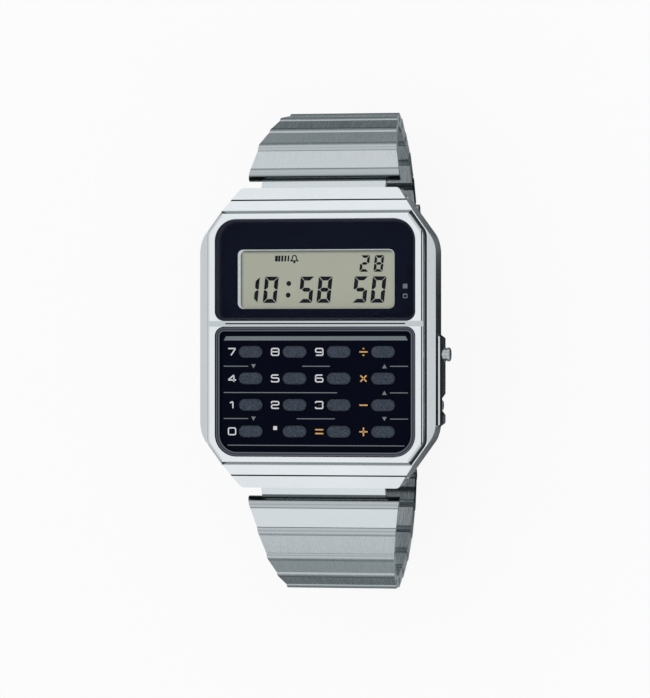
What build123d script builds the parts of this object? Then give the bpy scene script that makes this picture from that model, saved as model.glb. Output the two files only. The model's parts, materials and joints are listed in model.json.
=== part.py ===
from build123d import *
from math import asin, atan, cos, degrees, hypot, radians, sin, sqrt
import os

os.makedirs("parts", exist_ok=True)

# A calculator watch: a slim metal case with a display, sixteen keys and two side pushers,
# and a folded-link bracelet that closes with a folding clasp. All lengths are in mm.
# +X is three o'clock, +Y twelve o'clock, +Z out of the dial.
# The origin is the centre of the case back's outer face.

# Case
case_width = 34.4
case_length = 43.2
case_top = 6.8            # level top that the bezel stands on
case_floor = 0.6          # underside, which the case back stands proud of
flank_length = 27.4       # straight flank, corner to corner
end_width = 23.0
flank_round = 5.0
end_round = 0.8
shoulder_width = 1.1
shoulder_drop = 0.65
end_ledge = 0.1           # small step outside the bezel's end
ledge_drop = 0.35
facet_groove = 0.14       # fine groove between the two end facets
lower_facet = 1.8         # plan length of the outer end facet
facet_drop = 1.2
end_height = 4.4          # top of the end wall
underside_bevel = 0.7
flank_wall = 3.3
end_wall = 5.3
cavity_round = 5.5
seat_depth = 0.2          # ledge that carries the lens and the keypad plate
fit = 0.05                # clearance round a piece that is set in
overrun = 3.0             # how far a cutting shape runs past what it cuts

# Side guard and pushers, on the three o'clock flank
guard_proud = 0.68
guard_past_adjust = 3.03
guard_past_mode = 2.82
guard_rise = 1.5          # top of the guard over the pushers' height
guard_bevel = 0.5
guard_slope = 0.5
notch_before_adjust = 1.46
notch_after_adjust = 1.66
notch_slope = 0.75
notch_proud = 0.1
notch_roof = 0.1          # outer wall of the guard left over the notch
pusher_height = 3.6
mode_share = 0.2861       # place along the keypad's length, from its middle
mode_radius = 1.0
mode_proud = 1.76
adjust_share = -0.1043
adjust_radius = 0.75
adjust_proud = 0.7
pusher_shaft = 0.5
pusher_head_sink = 1.4    # how deep in the flank a head starts
pusher_inner_reach = 0.6  # how far a shaft stands into the case
clip_radius = 0.9
clip_width = 0.4
pusher_gap = 0.06
pusher_step_gap = 0.7
pusher_groove = 0.12
pusher_groove_width = 0.25
pusher_groove_place = 0.7
pusher_round = 0.25

# Front bezel and its windows
bezel_thickness = 1.4
bezel_side_margin = 1.15
bezel_end_margin = 3.4
bezel_corner_along = 3.12
bezel_corner_across = 2.25
bezel_taper = 0.4         # how far the outer walls lean in on their way up
bezel_round = 2.0
bezel_bevel = 0.25        # plan width
bezel_bevel_drop = 0.14
bezel_side_rim = 1.45
bezel_end_rim = 1.15
divider_centre = 2.0
divider_width = 0.8
divider_groove = 0.25
outer_window_round = 3.2
inner_window_round = 1.35

# Display
glass_sink = 0.1
rim_width = 0.7           # dark border inside each window
rim_drop = 0.35
mask_thickness = 0.2
aperture_side_margin = 3.175
aperture_height_share = 0.58   # of the window's length
aperture_round = 0.8
aperture_rise_share = 0.41     # centre of the aperture, from the window's lower edge
lcd_side_border = 0.875
lcd_end_border = 1.35
lcd_glass = 0.6           # each of the two panes
lcd_step = 1.2            # ledge of the rear pane that carries the contacts
lcd_gap = 0.15
connector_width = 1.8

# Keypad
key_columns = 4
key_rows = 4
key_margin_across = 1.74  # from the window's side to the first column's cell
key_margin_along = 1.725
key_shift = 0.215
key_length_share = 0.5334      # of the pitch between columns
key_width = 1.68
key_sink = 0.25
key_bevel = 0.15
key_gap = 0.06
key_travel = 0.3
plate_sink = 0.15
field_sink = 0.65
flange_grow = 0.35
flange_thickness = 0.4
flange_gap = 0.05
stem_length = 1.8
stem_width = 0.8
dome_gap = 0.1            # left between stem and dome at the end of the travel
dome_radius = 1.0
mat_thickness = 0.3
mat_gap = 0.3             # height of a dome
mat_round = 3.0
mat_side_gap = 0.36

# Module
board_thickness = 0.6
board_gap = 0.25
board_round = 4.3
module_gap = 0.15
module_wall = 0.9
module_bar = 1.0
opening_round = 3.6
module_rise = 0.45        # over the case back
module_web = 0.9          # between the cell and the board
cell_radius_share = 0.3067      # of the cavity's length
cell_thickness = 1.6
cell_cap_share = 0.86           # of the cell's radius
cell_cap = 0.2
cell_place_share = -0.1227      # of the cavity's length, from its middle
strap_width = 3.0
strap_thickness = 0.15
strap_end_inset = 0.6
buzzer_radius = 6.5
buzzer_plate = 0.15
buzzer_ceramic = 4.6
buzzer_coat = 0.07

# Case back
back_thickness = 0.8
back_side_lap = 1.3
back_end_lap = 1.0
back_round = 4.0
back_bevel = 0.3
gasket_width = 0.45
gasket_height = 0.35
gasket_groove_gap = 0.05
gasket_inset = 0.3
screw_inset_across = 1.85
screw_inset_along = 1.75
screw_radius = 0.4
screw_head_radius = 0.75
screw_head = 0.4
screw_length = 2.8
screw_slot = 0.2
screw_gap = 0.03

# Strap
lug_inset = 1.3           # spring bar, from the case's end
lug_height = 2.6
lug_side_gap = 0.2
lug_back_gap = 0.5
lug_roof_gap = 0.2
bar_radius = 0.6
bar_tip_radius = 0.35
bar_tip = 1.9
tongue_width = 18.2
tongue_top = 0.15
lip_radius = 1.0
plate_half = 0.8          # half thickness of a link's plate
lip_start = 4.1           # first lip, from the spring bar
end_pitch = 8.6
link_pitch = 4.8
wide_width = 21.9
narrow_width = 15.0
taper_links = 6
link_pin = 0.4
link_gap = 0.12
pin_gap = 0.03
pin_inset = 0.15
knuckle_radius = 0.7
knuckle_gap = 0.09
knuckle_width_share = 0.45
knuckle_side_gap = 0.15
arm_top = 0.2
arm_bottom = 0.6
arm_root = 0.5
arm_back = 0.5            # how far the slot runs past the pin on the wrist side

# Angle below the dial of each link when the clasp is closed, in degrees
upper_angles = [34, 61, 67, 80, 97, 112, 126, 140]
lower_angles = [29, 39, 57, 67, 89, 104, 118, 132, 147, 163]

# Clasp
clasp_side_lap = 0.5      # clasp over the strap, each side
clasp_wall = 0.65
clasp_plate = 0.8
base_side_inset = 0.4
base_sink = 1.0           # wrist side face, from the line of the strap's pins
blade_side_gap = 0.55
blade_bottom = 1.1
blade_thickness = 0.7
blade_hinge_height = 1.0
cover_hinge_height = 1.9
cover_face = 3.7
cover_round = 1.5
cover_skirt = 0.1
cover_slope = 3.6
cover_tail = 2.4
hinge_radius = 0.8
hinge_pin = 0.4
blade_inset = 5.4         # blade hinge, from the cover's end pin
cover_inset = 8.0         # cover hinge, from the base's end pin
ear_width = 1.6
ear_gap = 0.2
clasp_gap = 0.3
tail_links = 3
tail_side_inset = 1.7
tail_start = 3.6
tail_thickness = 1.05
tail_space = 0.15
lever_tip_gap = 1.6       # from the tail to the lever's tip
lever_pin_height = 0.35
lever_barrel = 0.5
lever_pin = 0.22
lever_side_inset = 3.3
lever_length_share = 0.6096     # of the run from the lever's tip to the blade's hinge
lever_thickness = 0.6
lever_window_gap = 0.6
lever_window_behind = 2.0
lever_ear = 0.8

# Places that follow from the sizes above
half_case = case_width / 2
half_length = case_length / 2
cavity_width = case_width - 2 * flank_wall
cavity_length = case_length - 2 * end_wall
cell_radius = cavity_length * cell_radius_share
cell_cap_radius = cell_radius * cell_cap_share
cell_place = cavity_length * cell_place_share
seat_floor = case_top - seat_depth
bezel_top = case_top + bezel_thickness
bezel_width = case_width - 2 * bezel_side_margin
bezel_length = case_length - 2 * bezel_end_margin
window_width = bezel_width - 2 * bezel_side_rim
display_low = divider_centre + divider_width / 2
display_high = bezel_length / 2 - bezel_end_rim
keypad_low = -display_high
keypad_high = divider_centre - divider_width / 2
keypad_middle = (keypad_low + keypad_high) / 2
keypad_length = keypad_high - keypad_low
display_length = display_high - display_low
aperture_width = window_width - 2 * aperture_side_margin
aperture_height = display_length * aperture_height_share
aperture_centre = display_low + display_length * aperture_rise_share
lcd_width = aperture_width + 2 * lcd_side_border
lcd_height = aperture_height + 2 * lcd_end_border
key_pitch_across = (window_width - 2 * key_margin_across) / key_columns
key_pitch_along = (keypad_length - 2 * key_margin_along) / key_rows
key_length = key_pitch_across * key_length_share
key_top = bezel_top - key_sink
frame_width = cavity_width - 2 * module_gap
frame_length = cavity_length - 2 * module_gap
frame_round = cavity_round - module_gap
module_floor = back_thickness + module_rise
cell_ceiling = module_floor + cell_thickness + fit
board_height = cell_ceiling + module_web
board_top = board_height + board_thickness
board_width = frame_width - 2 * module_wall - 2 * board_gap
board_length = frame_length - 2 * module_wall - 2 * board_gap
back_width = cavity_width + 2 * back_side_lap
back_length = cavity_length + 2 * back_end_lap
screw_spread_across = back_width / 2 - screw_inset_across
screw_spread_along = back_length / 2 - screw_inset_along
mode_place = keypad_middle + keypad_length * mode_share
adjust_place = keypad_middle + keypad_length * adjust_share
guard_start = adjust_place - guard_past_adjust
guard_end = mode_place + guard_past_mode
notch_start = adjust_place - notch_before_adjust
notch_end = adjust_place + notch_after_adjust
guard_bottom = case_floor + underside_bevel
guard_top = pusher_height + guard_rise
pusher_step = half_case - pusher_head_sink
pusher_inner = cavity_width / 2 - pusher_inner_reach
lug_place = half_length - lug_inset
lug_back = lug_place - lip_radius - lug_back_gap
lug_roof = lug_height + lip_radius + lug_roof_gap
lug_width = tongue_width + 2 * lug_side_gap
clasp_width = narrow_width + 2 * clasp_side_lap
base_width = clasp_width - 2 * base_side_inset
blade_width = clasp_width - 2 * (clasp_wall + blade_side_gap + ear_width + ear_gap)
tail_width = clasp_width - 2 * tail_side_inset
lever_width = clasp_width - 2 * lever_side_inset
lever_tip = tail_start + tail_links * link_pitch + lever_tip_gap


def write(builder, name):
    """Label a finished piece and write its file."""
    builder.part.label = name
    export_step(builder.part, "parts/" + name + ".step")


def octagon(half_width, half_length, half_flank, half_end, flank_corner, end_corner):
    """A long octagon with rounded corners at its flanks and its ends."""
    corners = [(half_width, half_flank), (half_end, half_length)]
    corners += [(-x, y) for x, y in reversed(corners)]
    corners += [(x, -y) for x, y in reversed(corners)]
    with BuildSketch() as outline:
        with BuildLine():
            Polyline(*corners, close=True)
        make_face()
        fillet([v for v in vertices() if abs(v.Y) < half_flank + fit], flank_corner)
        if end_corner > 0:
            fillet([v for v in vertices() if abs(v.Y) > half_length - fit], end_corner)
    return outline.sketch


def window(low, high, low_round, high_round, grow):
    """A window outline of the bezel, grown or shrunk by a clearance."""
    middle = (low + high) / 2
    with BuildSketch() as outline:
        with Locations((0, middle)):
            Rectangle(window_width + 2 * grow, high - low + 2 * grow)
        fillet([v for v in vertices() if v.Y < middle], low_round + grow)
        fillet([v for v in vertices() if v.Y > middle + (high - low) / 4], high_round + grow)
    return outline.sketch


def display_window(grow):
    return window(display_low, display_high, inner_window_round, outer_window_round, grow)


def keypad_window(grow):
    return window(keypad_low, keypad_high, outer_window_round, inner_window_round, grow)


# Case body: an octagonal block with sloping ends and shoulders, open through the middle
back_seat = back_thickness
ledge_end = bezel_length / 2 + end_ledge
facet_break = half_length - lower_facet
facet_height = case_top - facet_drop

with BuildPart() as guard:
    with BuildSketch(Plane.XY.offset(guard_bottom)):
        with BuildLine():
            Polyline((half_case - overrun / 2, guard_end), (half_case, guard_end),
                     (half_case + guard_proud, guard_end - guard_slope),
                     (half_case + guard_proud, guard_start + guard_slope),
                     (half_case, guard_start), (half_case - overrun / 2, guard_start), close=True)
        make_face()
    extrude(amount=guard_top - guard_bottom)
    outer = guard.faces().sort_by(Axis.X)[-1]
    chamfer(outer.edges().sort_by(Axis.Z)[-1], guard_bevel)
    chamfer(guard.faces().sort_by(Axis.X)[-1].edges().sort_by(Axis.Z)[0], guard_bevel / 2)
    # Notch round the lower pusher, with sloping ends, under the guard's bevel
    with BuildSketch(Plane.XY.offset(guard_top - guard_bevel - notch_roof)):
        with BuildLine():
            Polyline((half_case + guard_proud + overrun, notch_start), (half_case + guard_proud, notch_start),
                     (half_case + notch_proud, notch_start + notch_slope),
                     (half_case + notch_proud, notch_end - notch_slope),
                     (half_case + guard_proud, notch_end), (half_case + guard_proud + overrun, notch_end),
                     close=True)
        make_face()
    extrude(amount=-guard_top, mode=Mode.SUBTRACT)

with BuildPart() as case_body:
    with BuildSketch(Plane.XY.offset(case_floor)):
        add(octagon(half_case, half_length, flank_length / 2, end_width / 2, flank_round, end_round))
    extrude(amount=case_top - case_floor)
    # Ledges, end facets and underside bevels, seen from the side
    with BuildSketch(Plane.YZ):
        side = [(bezel_length / 2, case_top), (ledge_end, case_top - ledge_drop),
                (facet_break - facet_groove / 2, facet_height), (facet_break, facet_height - facet_groove),
                (facet_break + facet_groove / 2, facet_height), (half_length, end_height),
                (half_length, case_floor + underside_bevel),
                (half_length - underside_bevel, case_floor)]
        with BuildLine():
            Polyline(*side, *[(-y, z) for y, z in reversed(side)], close=True)
        make_face()
    extrude(amount=case_width, both=True, mode=Mode.INTERSECT)
    # Shoulders and underside bevels, seen from the end
    with BuildSketch(Plane.XZ):
        rise = [(half_case - shoulder_width, case_top), (half_case, case_top - shoulder_drop),
                (half_case, case_floor + underside_bevel), (half_case - underside_bevel, case_floor)]
        with BuildLine():
            Polyline(*rise, *[(-x, z) for x, z in reversed(rise)], close=True)
        make_face()
    extrude(amount=case_length, both=True, mode=Mode.INTERSECT)
    add(guard.part)
    # Room for the module, the ledge under the front and the seat of the back
    with BuildSketch(Plane.XY.offset(case_floor)):
        RectangleRounded(cavity_width, cavity_length, cavity_round)
    extrude(amount=case_top, mode=Mode.SUBTRACT)
    with BuildSketch(Plane.XY.offset(seat_floor)):
        add(display_window(2 * fit))
    extrude(amount=case_top, mode=Mode.SUBTRACT)
    with BuildSketch(Plane.XY.offset(seat_floor)):
        add(keypad_window(2 * fit))
    extrude(amount=case_top, mode=Mode.SUBTRACT)
    with BuildSketch(Plane.XY.offset(back_seat)):
        RectangleRounded(back_width + 2 * fit, back_length + 2 * fit, back_round + fit)
    extrude(amount=-back_seat, mode=Mode.SUBTRACT)
    # Groove of the back gasket
    groove_width = cavity_width + 2 * gasket_inset
    groove_length = cavity_length + 2 * gasket_inset
    groove_round = cavity_round + gasket_inset
    wide = gasket_width + 2 * gasket_groove_gap
    with BuildSketch(Plane.XY.offset(back_seat)):
        RectangleRounded(groove_width + 2 * wide, groove_length + 2 * wide, groove_round + wide)
        RectangleRounded(groove_width, groove_length, groove_round, mode=Mode.SUBTRACT)
    extrude(amount=gasket_height + gasket_groove_gap, mode=Mode.SUBTRACT)
    # Recesses under the ends for the strap, and the spring bar holes
    for end in (1, -1):
        with BuildSketch(Plane.XY.offset(lug_roof)):
            with Locations((0, end * (lug_back + half_length) / 2)):
                Rectangle(lug_width, half_length - lug_back)
            with Locations((0, end * (half_length + overrun / 2))):
                Rectangle(lug_width, overrun)
        extrude(amount=-lug_roof, mode=Mode.SUBTRACT)
        with BuildSketch(Plane.YZ):
            with Locations((end * lug_place, lug_height)):
                Circle(bar_tip_radius + pin_gap)
        extrude(amount=case_width, both=True, mode=Mode.SUBTRACT)
    # Stepped bores of the two pushers
    for place, radius in ((mode_place, mode_radius), (adjust_place, adjust_radius)):
        with BuildSketch(Plane.YZ.offset(cavity_width / 2 - fit)):
            with Locations((place, pusher_height)):
                Circle(pusher_shaft + pusher_gap)
        extrude(amount=case_width, mode=Mode.SUBTRACT)
        with BuildSketch(Plane.YZ.offset(pusher_step - pusher_step_gap)):
            with Locations((place, pusher_height)):
                Circle(radius + pusher_gap)
        extrude(amount=case_width, mode=Mode.SUBTRACT)
    # Tapped holes of the back screws
    with BuildSketch(Plane.XY.offset(back_seat)):
        with GridLocations(2 * screw_spread_across, 2 * screw_spread_along, 2, 2):
            Circle(screw_radius + screw_gap)
    extrude(amount=screw_length, mode=Mode.SUBTRACT)
write(case_body, "case_body")

# Front bezel: one frame round the display and the keypad, with a groove across it
with BuildPart() as front_bezel:
    with BuildSketch(Plane.XY.offset(case_top)):
        add(octagon(bezel_width / 2, bezel_length / 2, bezel_length / 2 - bezel_corner_along,
                    bezel_width / 2 - bezel_corner_across, bezel_round, 0))
    extrude(amount=bezel_thickness, taper=degrees(atan(bezel_taper / bezel_thickness)))
    face = front_bezel.faces().sort_by(Axis.Z)[-1]
    chamfer(face.outer_wire().edges(), bezel_bevel, length2=bezel_bevel_drop, reference=face)
    with BuildSketch(Plane.XY.offset(case_top)):
        add(display_window(0))
    extrude(amount=bezel_top, mode=Mode.SUBTRACT)
    with BuildSketch(Plane.XY.offset(case_top)):
        add(keypad_window(0))
    extrude(amount=bezel_top, mode=Mode.SUBTRACT)
    with BuildSketch(Plane.XY.offset(bezel_top - divider_groove)):
        with Locations((0, divider_centre)):
            Rectangle(case_width, divider_width)
    extrude(amount=bezel_top, mode=Mode.SUBTRACT)
write(front_bezel, "front_bezel")

# Display: printed mask, glass over it, and the liquid crystal panel under it
with BuildPart() as display_mask:
    with BuildSketch(Plane.XY.offset(seat_floor)):
        add(display_window(-fit))
    extrude(amount=mask_thickness)
    with BuildSketch(Plane.XY.offset(seat_floor)):
        with Locations((0, aperture_centre)):
            RectangleRounded(aperture_width, aperture_height, aperture_round)
    extrude(amount=mask_thickness, mode=Mode.SUBTRACT)
write(display_mask, "display_mask")

lens_floor = seat_floor + mask_thickness
with BuildPart() as window_lens:
    with BuildSketch(Plane.XY.offset(lens_floor)):
        add(display_window(-fit))
    extrude(amount=bezel_top - glass_sink - lens_floor)
    chamfer(window_lens.faces().sort_by(Axis.Z)[-1].edges(), rim_drop, rim_width)
write(window_lens, "window_lens")

lcd_top = seat_floor - lcd_gap
lcd_floor = lcd_top - 2 * lcd_glass
with BuildPart() as lcd_panel:
    with BuildSketch(Plane.XY.offset(lcd_floor)):
        with Locations((0, aperture_centre)):
            Rectangle(lcd_width, lcd_height)
    extrude(amount=lcd_glass)
    with BuildSketch(Plane.XY.offset(lcd_floor + lcd_glass)):
        with Locations((0, aperture_centre + lcd_step / 2)):
            Rectangle(lcd_width, lcd_height - lcd_step)
    extrude(amount=lcd_glass)
write(lcd_panel, "lcd_panel")

with BuildPart() as lcd_connector:
    with BuildSketch(Plane.XY.offset(board_top)):
        for edge in (1, -1):
            with Locations((0, aperture_centre + edge * (lcd_height - connector_width) / 2)):
                Rectangle(lcd_width - connector_width, connector_width)
    extrude(amount=lcd_floor - board_top)
write(lcd_connector, "lcd_connector")

# Keypad plate: a raised rim round a sunk field with sixteen slots
with BuildPart() as keypad_plate:
    with BuildSketch(Plane.XY.offset(seat_floor)):
        add(keypad_window(-fit))
    extrude(amount=bezel_top - plate_sink - seat_floor)
    chamfer(keypad_plate.faces().sort_by(Axis.Z)[-1].edges(), plate_sink)
    with BuildSketch(Plane.XY.offset(bezel_top - field_sink)):
        add(keypad_window(-rim_width))
    extrude(amount=field_sink, mode=Mode.SUBTRACT)
    with BuildSketch(Plane.XY.offset(seat_floor)):
        with Locations((key_shift, keypad_middle)):
            with GridLocations(key_pitch_across, key_pitch_along, key_columns, key_rows):
                SlotOverall(key_length + 2 * key_gap, key_width + 2 * key_gap)
    extrude(amount=bezel_top, mode=Mode.SUBTRACT)
write(keypad_plate, "keypad_plate")

# Keys: a cap in its slot, a flange that keeps it in, and a stem over a rubber dome
key_names = [["7", "8", "9", "divide"], ["4", "5", "6", "multiply"],
             ["1", "2", "3", "minus"], ["0", "point", "equals", "plus"]]
flange_top = seat_floor - flange_gap
dome_top = board_top + mat_thickness + mat_gap
stem_floor = dome_top + key_travel + dome_gap


def key_place(row, column):
    """Centre of a key, counted from the top left."""
    across = key_shift + (column - (key_columns - 1) / 2) * key_pitch_across
    along = keypad_middle + ((key_rows - 1) / 2 - row) * key_pitch_along
    return across, along


for row in range(key_rows):
    for column in range(key_columns):
        with BuildPart() as key:
            with BuildSketch(Plane.XY.offset(flange_top)):
                with Locations(key_place(row, column)):
                    SlotOverall(key_length, key_width)
            extrude(amount=key_top - flange_top)
            chamfer(key.faces().sort_by(Axis.Z)[-1].edges(), key_bevel)
            with BuildSketch(Plane.XY.offset(flange_top)):
                with Locations(key_place(row, column)):
                    SlotOverall(key_length + 2 * flange_grow, key_width + 2 * flange_grow)
            extrude(amount=-flange_thickness)
            with BuildSketch(Plane.XY.offset(stem_floor)):
                with Locations(key_place(row, column)):
                    SlotOverall(stem_length, stem_width)
            extrude(amount=flange_top - stem_floor)
        write(key, "key_" + key_names[row][column])

mat_length = key_rows * key_pitch_along - key_width
with BuildPart() as key_mat:
    with BuildSketch(Plane.XY.offset(board_top)):
        with Locations((0, keypad_middle)):
            RectangleRounded(board_width - 2 * mat_side_gap, mat_length, mat_round)
    extrude(amount=mat_thickness)
    with BuildSketch(Plane.XY.offset(board_top + mat_thickness)):
        with Locations((key_shift, keypad_middle)):
            with GridLocations(key_pitch_across, key_pitch_along, key_columns, key_rows):
                Circle(dome_radius)
    extrude(amount=mat_gap)
write(key_mat, "key_mat")

# Module: frame, circuit board, cell, strap over the cell, and the buzzer on the case back
with BuildPart() as circuit_board:
    with BuildSketch(Plane.XY.offset(board_height)):
        RectangleRounded(board_width, board_length, board_round)
    extrude(amount=board_thickness)
write(circuit_board, "circuit_board")

with BuildPart() as module_frame:
    with BuildSketch(Plane.XY.offset(module_floor)):
        RectangleRounded(frame_width, frame_length, frame_round)
    extrude(amount=seat_floor - module_floor)
    with BuildSketch(Plane.XY.offset(board_height)):
        RectangleRounded(frame_width - 2 * module_wall, frame_length - 2 * module_wall, opening_round)
    extrude(amount=seat_floor, mode=Mode.SUBTRACT)
    with BuildSketch(Plane.XY.offset(board_top)):
        with Locations((0, aperture_centre)):
            Rectangle(lcd_width + 2 * fit, lcd_height + 2 * fit)
    extrude(amount=seat_floor, mode=Mode.SUBTRACT)
    with BuildSketch(Plane.XY.offset(board_top)):
        with Locations((0, divider_centre - divider_width / 2)):
            Rectangle(frame_width - module_wall, module_bar)
    extrude(amount=seat_floor - board_top)
    with BuildSketch(Plane.XY.offset(module_floor)):
        with Locations((0, cell_place)):
            Circle(cell_radius + module_gap)
    extrude(amount=cell_ceiling - module_floor, mode=Mode.SUBTRACT)
    # Room beside the board for the inner ends of the pushers
    with BuildSketch(Plane.XY.offset(pusher_height - clip_radius - module_gap)):
        with Locations(((frame_width / 2 + board_width / 2) / 2 + fit, (mode_place + adjust_place) / 2)):
            Rectangle((frame_width - board_width) / 2 + 2 * fit,
                      mode_place - adjust_place + 2 * clip_radius + 2 * module_gap)
    extrude(amount=2 * clip_radius + 2 * module_gap, mode=Mode.SUBTRACT)
write(module_frame, "module_frame")

with BuildPart() as coin_cell:
    with BuildSketch(Plane.XY.offset(module_floor)):
        with Locations((0, cell_place)):
            Circle(cell_radius)
    extrude(amount=cell_thickness - cell_cap)
    with BuildSketch(Plane.XY.offset(module_floor + cell_thickness - cell_cap)):
        with Locations((0, cell_place)):
            Circle(cell_cap_radius)
    extrude(amount=cell_cap)
write(coin_cell, "coin_cell")

with BuildPart() as cell_strap:
    with BuildSketch(Plane.XY.offset(module_floor - strap_thickness)):
        with Locations((0, cell_place)):
            RectangleRounded(frame_width - 2 * strap_end_inset, strap_width, strap_width / 3)
    extrude(amount=strap_thickness)
write(cell_strap, "cell_strap")

with BuildPart() as buzzer_disc:
    with BuildSketch(Plane.XY.offset(back_thickness)):
        with Locations((0, cell_place)):
            Circle(buzzer_radius)
    extrude(amount=buzzer_plate)
    with BuildSketch(Plane.XY.offset(back_thickness + buzzer_plate)):
        with Locations((0, cell_place)):
            Circle(buzzer_ceramic)
    extrude(amount=buzzer_coat)
write(buzzer_disc, "buzzer_disc")

# Case back, its gasket and its four screws
with BuildPart() as case_back:
    with BuildSketch(Plane.XY):
        RectangleRounded(back_width, back_length, back_round)
    extrude(amount=back_thickness)
    chamfer(case_back.faces().sort_by(Axis.Z)[0].edges(), back_bevel)
    with BuildSketch(Plane.XY):
        with GridLocations(2 * screw_spread_across, 2 * screw_spread_along, 2, 2):
            Circle(screw_radius + screw_gap)
    extrude(amount=back_thickness, mode=Mode.SUBTRACT)
    with BuildSketch(Plane.XY):
        with GridLocations(2 * screw_spread_across, 2 * screw_spread_along, 2, 2):
            Circle(screw_head_radius + screw_gap)
    extrude(amount=screw_head, mode=Mode.SUBTRACT)
write(case_back, "case_back")

with BuildPart() as back_gasket:
    inner = gasket_inset + gasket_groove_gap
    with BuildSketch(Plane.XY.offset(back_seat)):
        RectangleRounded(cavity_width + 2 * (inner + gasket_width),
                         cavity_length + 2 * (inner + gasket_width), cavity_round + inner + gasket_width)
        RectangleRounded(cavity_width + 2 * inner, cavity_length + 2 * inner, cavity_round + inner,
                         mode=Mode.SUBTRACT)
    extrude(amount=gasket_height)
write(back_gasket, "back_gasket")

with BuildPart() as back_screws:
    with BuildSketch(Plane.XY.offset(screw_head)):
        with GridLocations(2 * screw_spread_across, 2 * screw_spread_along, 2, 2):
            Circle(screw_radius)
    extrude(amount=screw_length)
    with BuildSketch(Plane.XY.offset(screw_slot)):
        with GridLocations(2 * screw_spread_across, 2 * screw_spread_along, 2, 2):
            Circle(screw_head_radius)
    extrude(amount=screw_head - screw_slot)
    with BuildSketch(Plane.XY.offset(fit)):
        with GridLocations(2 * screw_spread_across, 2 * screw_spread_along, 2, 2):
            Circle(screw_head_radius)
            Rectangle(2 * screw_head_radius, screw_slot, mode=Mode.SUBTRACT)
    extrude(amount=screw_slot - fit)
write(back_screws, "back_screws")

# Pushers: head, thin shaft and a clip inside the case wall
for name, place, radius, proud in (("mode_pusher", mode_place, mode_radius, mode_proud),
                                   ("adjust_pusher", adjust_place, adjust_radius, adjust_proud)):
    reach = half_case + proud
    with BuildPart() as pusher:
        with BuildSketch(Plane.YZ.offset(pusher_step)):
            with Locations((place, pusher_height)):
                Circle(radius)
        extrude(amount=reach - pusher_step)
        fillet(pusher.faces().sort_by(Axis.X)[-1].edges(), pusher_round)
        with BuildSketch(Plane.YZ.offset(reach - pusher_groove_place)):
            with Locations((place, pusher_height)):
                Circle(radius)
                Circle(radius - pusher_groove, mode=Mode.SUBTRACT)
        extrude(amount=pusher_groove_width, mode=Mode.SUBTRACT)
        with BuildSketch(Plane.YZ.offset(pusher_inner)):
            with Locations((place, pusher_height)):
                Circle(pusher_shaft)
        extrude(amount=pusher_step - pusher_inner)
        with BuildSketch(Plane.YZ.offset(pusher_inner)):
            with Locations((place, pusher_height)):
                Circle(clip_radius)
        extrude(amount=clip_width)
    write(pusher, name)


# Strap links. A link is drawn in the plane across the strap at its own pin: the first
# coordinate runs along the link away from the case, the second out of the wrist.
def across(pin, angle, side):
    """Plane of a link's profile at a pin; side is 1 at twelve o'clock and -1 at six."""
    run = (0, side * cos(radians(angle)), -sin(radians(angle)))
    return Plane(origin=(0, pin[0], pin[1]), x_dir=run, z_dir=(side, 0, 0))


def along(plane):
    """Plane of a link's plan, through the same pin."""
    return Plane(origin=plane.origin, x_dir=plane.x_dir, z_dir=plane.y_dir)


def strap_width_at(index):
    """Width of the strap at a pin: it narrows fast near the case and is even further on."""
    left = max(0, 1 - index / taper_links)
    return narrow_width + (wide_width - narrow_width) * left ** 1.5


def next_pin(pin, angle, side, length):
    return (pin[0] + side * length * cos(radians(angle)), pin[1] - length * sin(radians(angle)))


hollow_radius = lip_radius + link_gap
lip_join = sqrt(lip_radius ** 2 - plate_half ** 2)
hollow_join = sqrt(hollow_radius ** 2 - plate_half ** 2)


def plate_outline(start, length, open_end):
    """A rounded lip, an outer face that falls away from its top, and a hollow end."""
    bite = asin(plate_half / hollow_radius) / 2
    with BuildSketch() as outline:
        with BuildLine():
            ThreePointArc((start + lip_join, -plate_half), (start - lip_radius, 0), (start, lip_radius))
            if open_end:
                Polyline((start, lip_radius), (length - hollow_radius, plate_half),
                         (length - hollow_radius, 0))
                ThreePointArc((length - hollow_radius, 0),
                              (length - hollow_radius * cos(bite), -hollow_radius * sin(bite)),
                              (length - hollow_join, -plate_half))
            else:
                Line((start, lip_radius), (length - hollow_join, plate_half))
                ThreePointArc((length - hollow_join, plate_half), (length - hollow_radius, 0),
                              (length - hollow_join, -plate_half))
            Line((length - hollow_join, -plate_half), (start + lip_join, -plate_half))
        make_face()
    return outline.sketch


def plan_outline(start, length, near, far):
    """The link's taper, run on past both of its ends."""
    rate = (far - near) / (length - start) / 2
    ends = [(start - overrun, near / 2 - rate * overrun), (length + overrun, far / 2 + rate * overrun)]
    with BuildSketch() as outline:
        with BuildLine():
            Polyline(*ends, *[(run, -half) for run, half in reversed(ends)], close=True)
        make_face()
    return outline.sketch


def bar(start, end, low, high):
    """A rectangle of a profile, by its four sides."""
    with Locations(((start + end) / 2, (low + high) / 2)):
        Rectangle(end - start, high - low)


def dot(place, height, radius, mode=Mode.ADD):
    """A circle of a profile."""
    with Locations((place, height)):
        Circle(radius, mode=mode)


def knuckle_slot():
    """Room in a lip for the knuckle of the link before, open towards the wrist."""
    with BuildSketch() as outline:
        dot(0, 0, knuckle_radius + knuckle_gap)
        bar(-overrun, 0, -overrun, arm_top + knuckle_gap)
        bar(-overrun, arm_back, -overrun, 0)
    return outline.sketch


def knuckle(length):
    """A knuckle at the far end of a link, on an arm along its wrist side."""
    with BuildSketch() as outline:
        dot(length, 0, knuckle_radius)
        bar(length - hollow_radius - arm_root, length, -arm_bottom, arm_top)
        dot(length, 0, link_pin + pin_gap, Mode.SUBTRACT)
    return outline.sketch


def knuckle_half(width):
    """Half the width of a knuckle, from the strap's width at its pin."""
    return knuckle_width_share * width / 2


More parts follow.
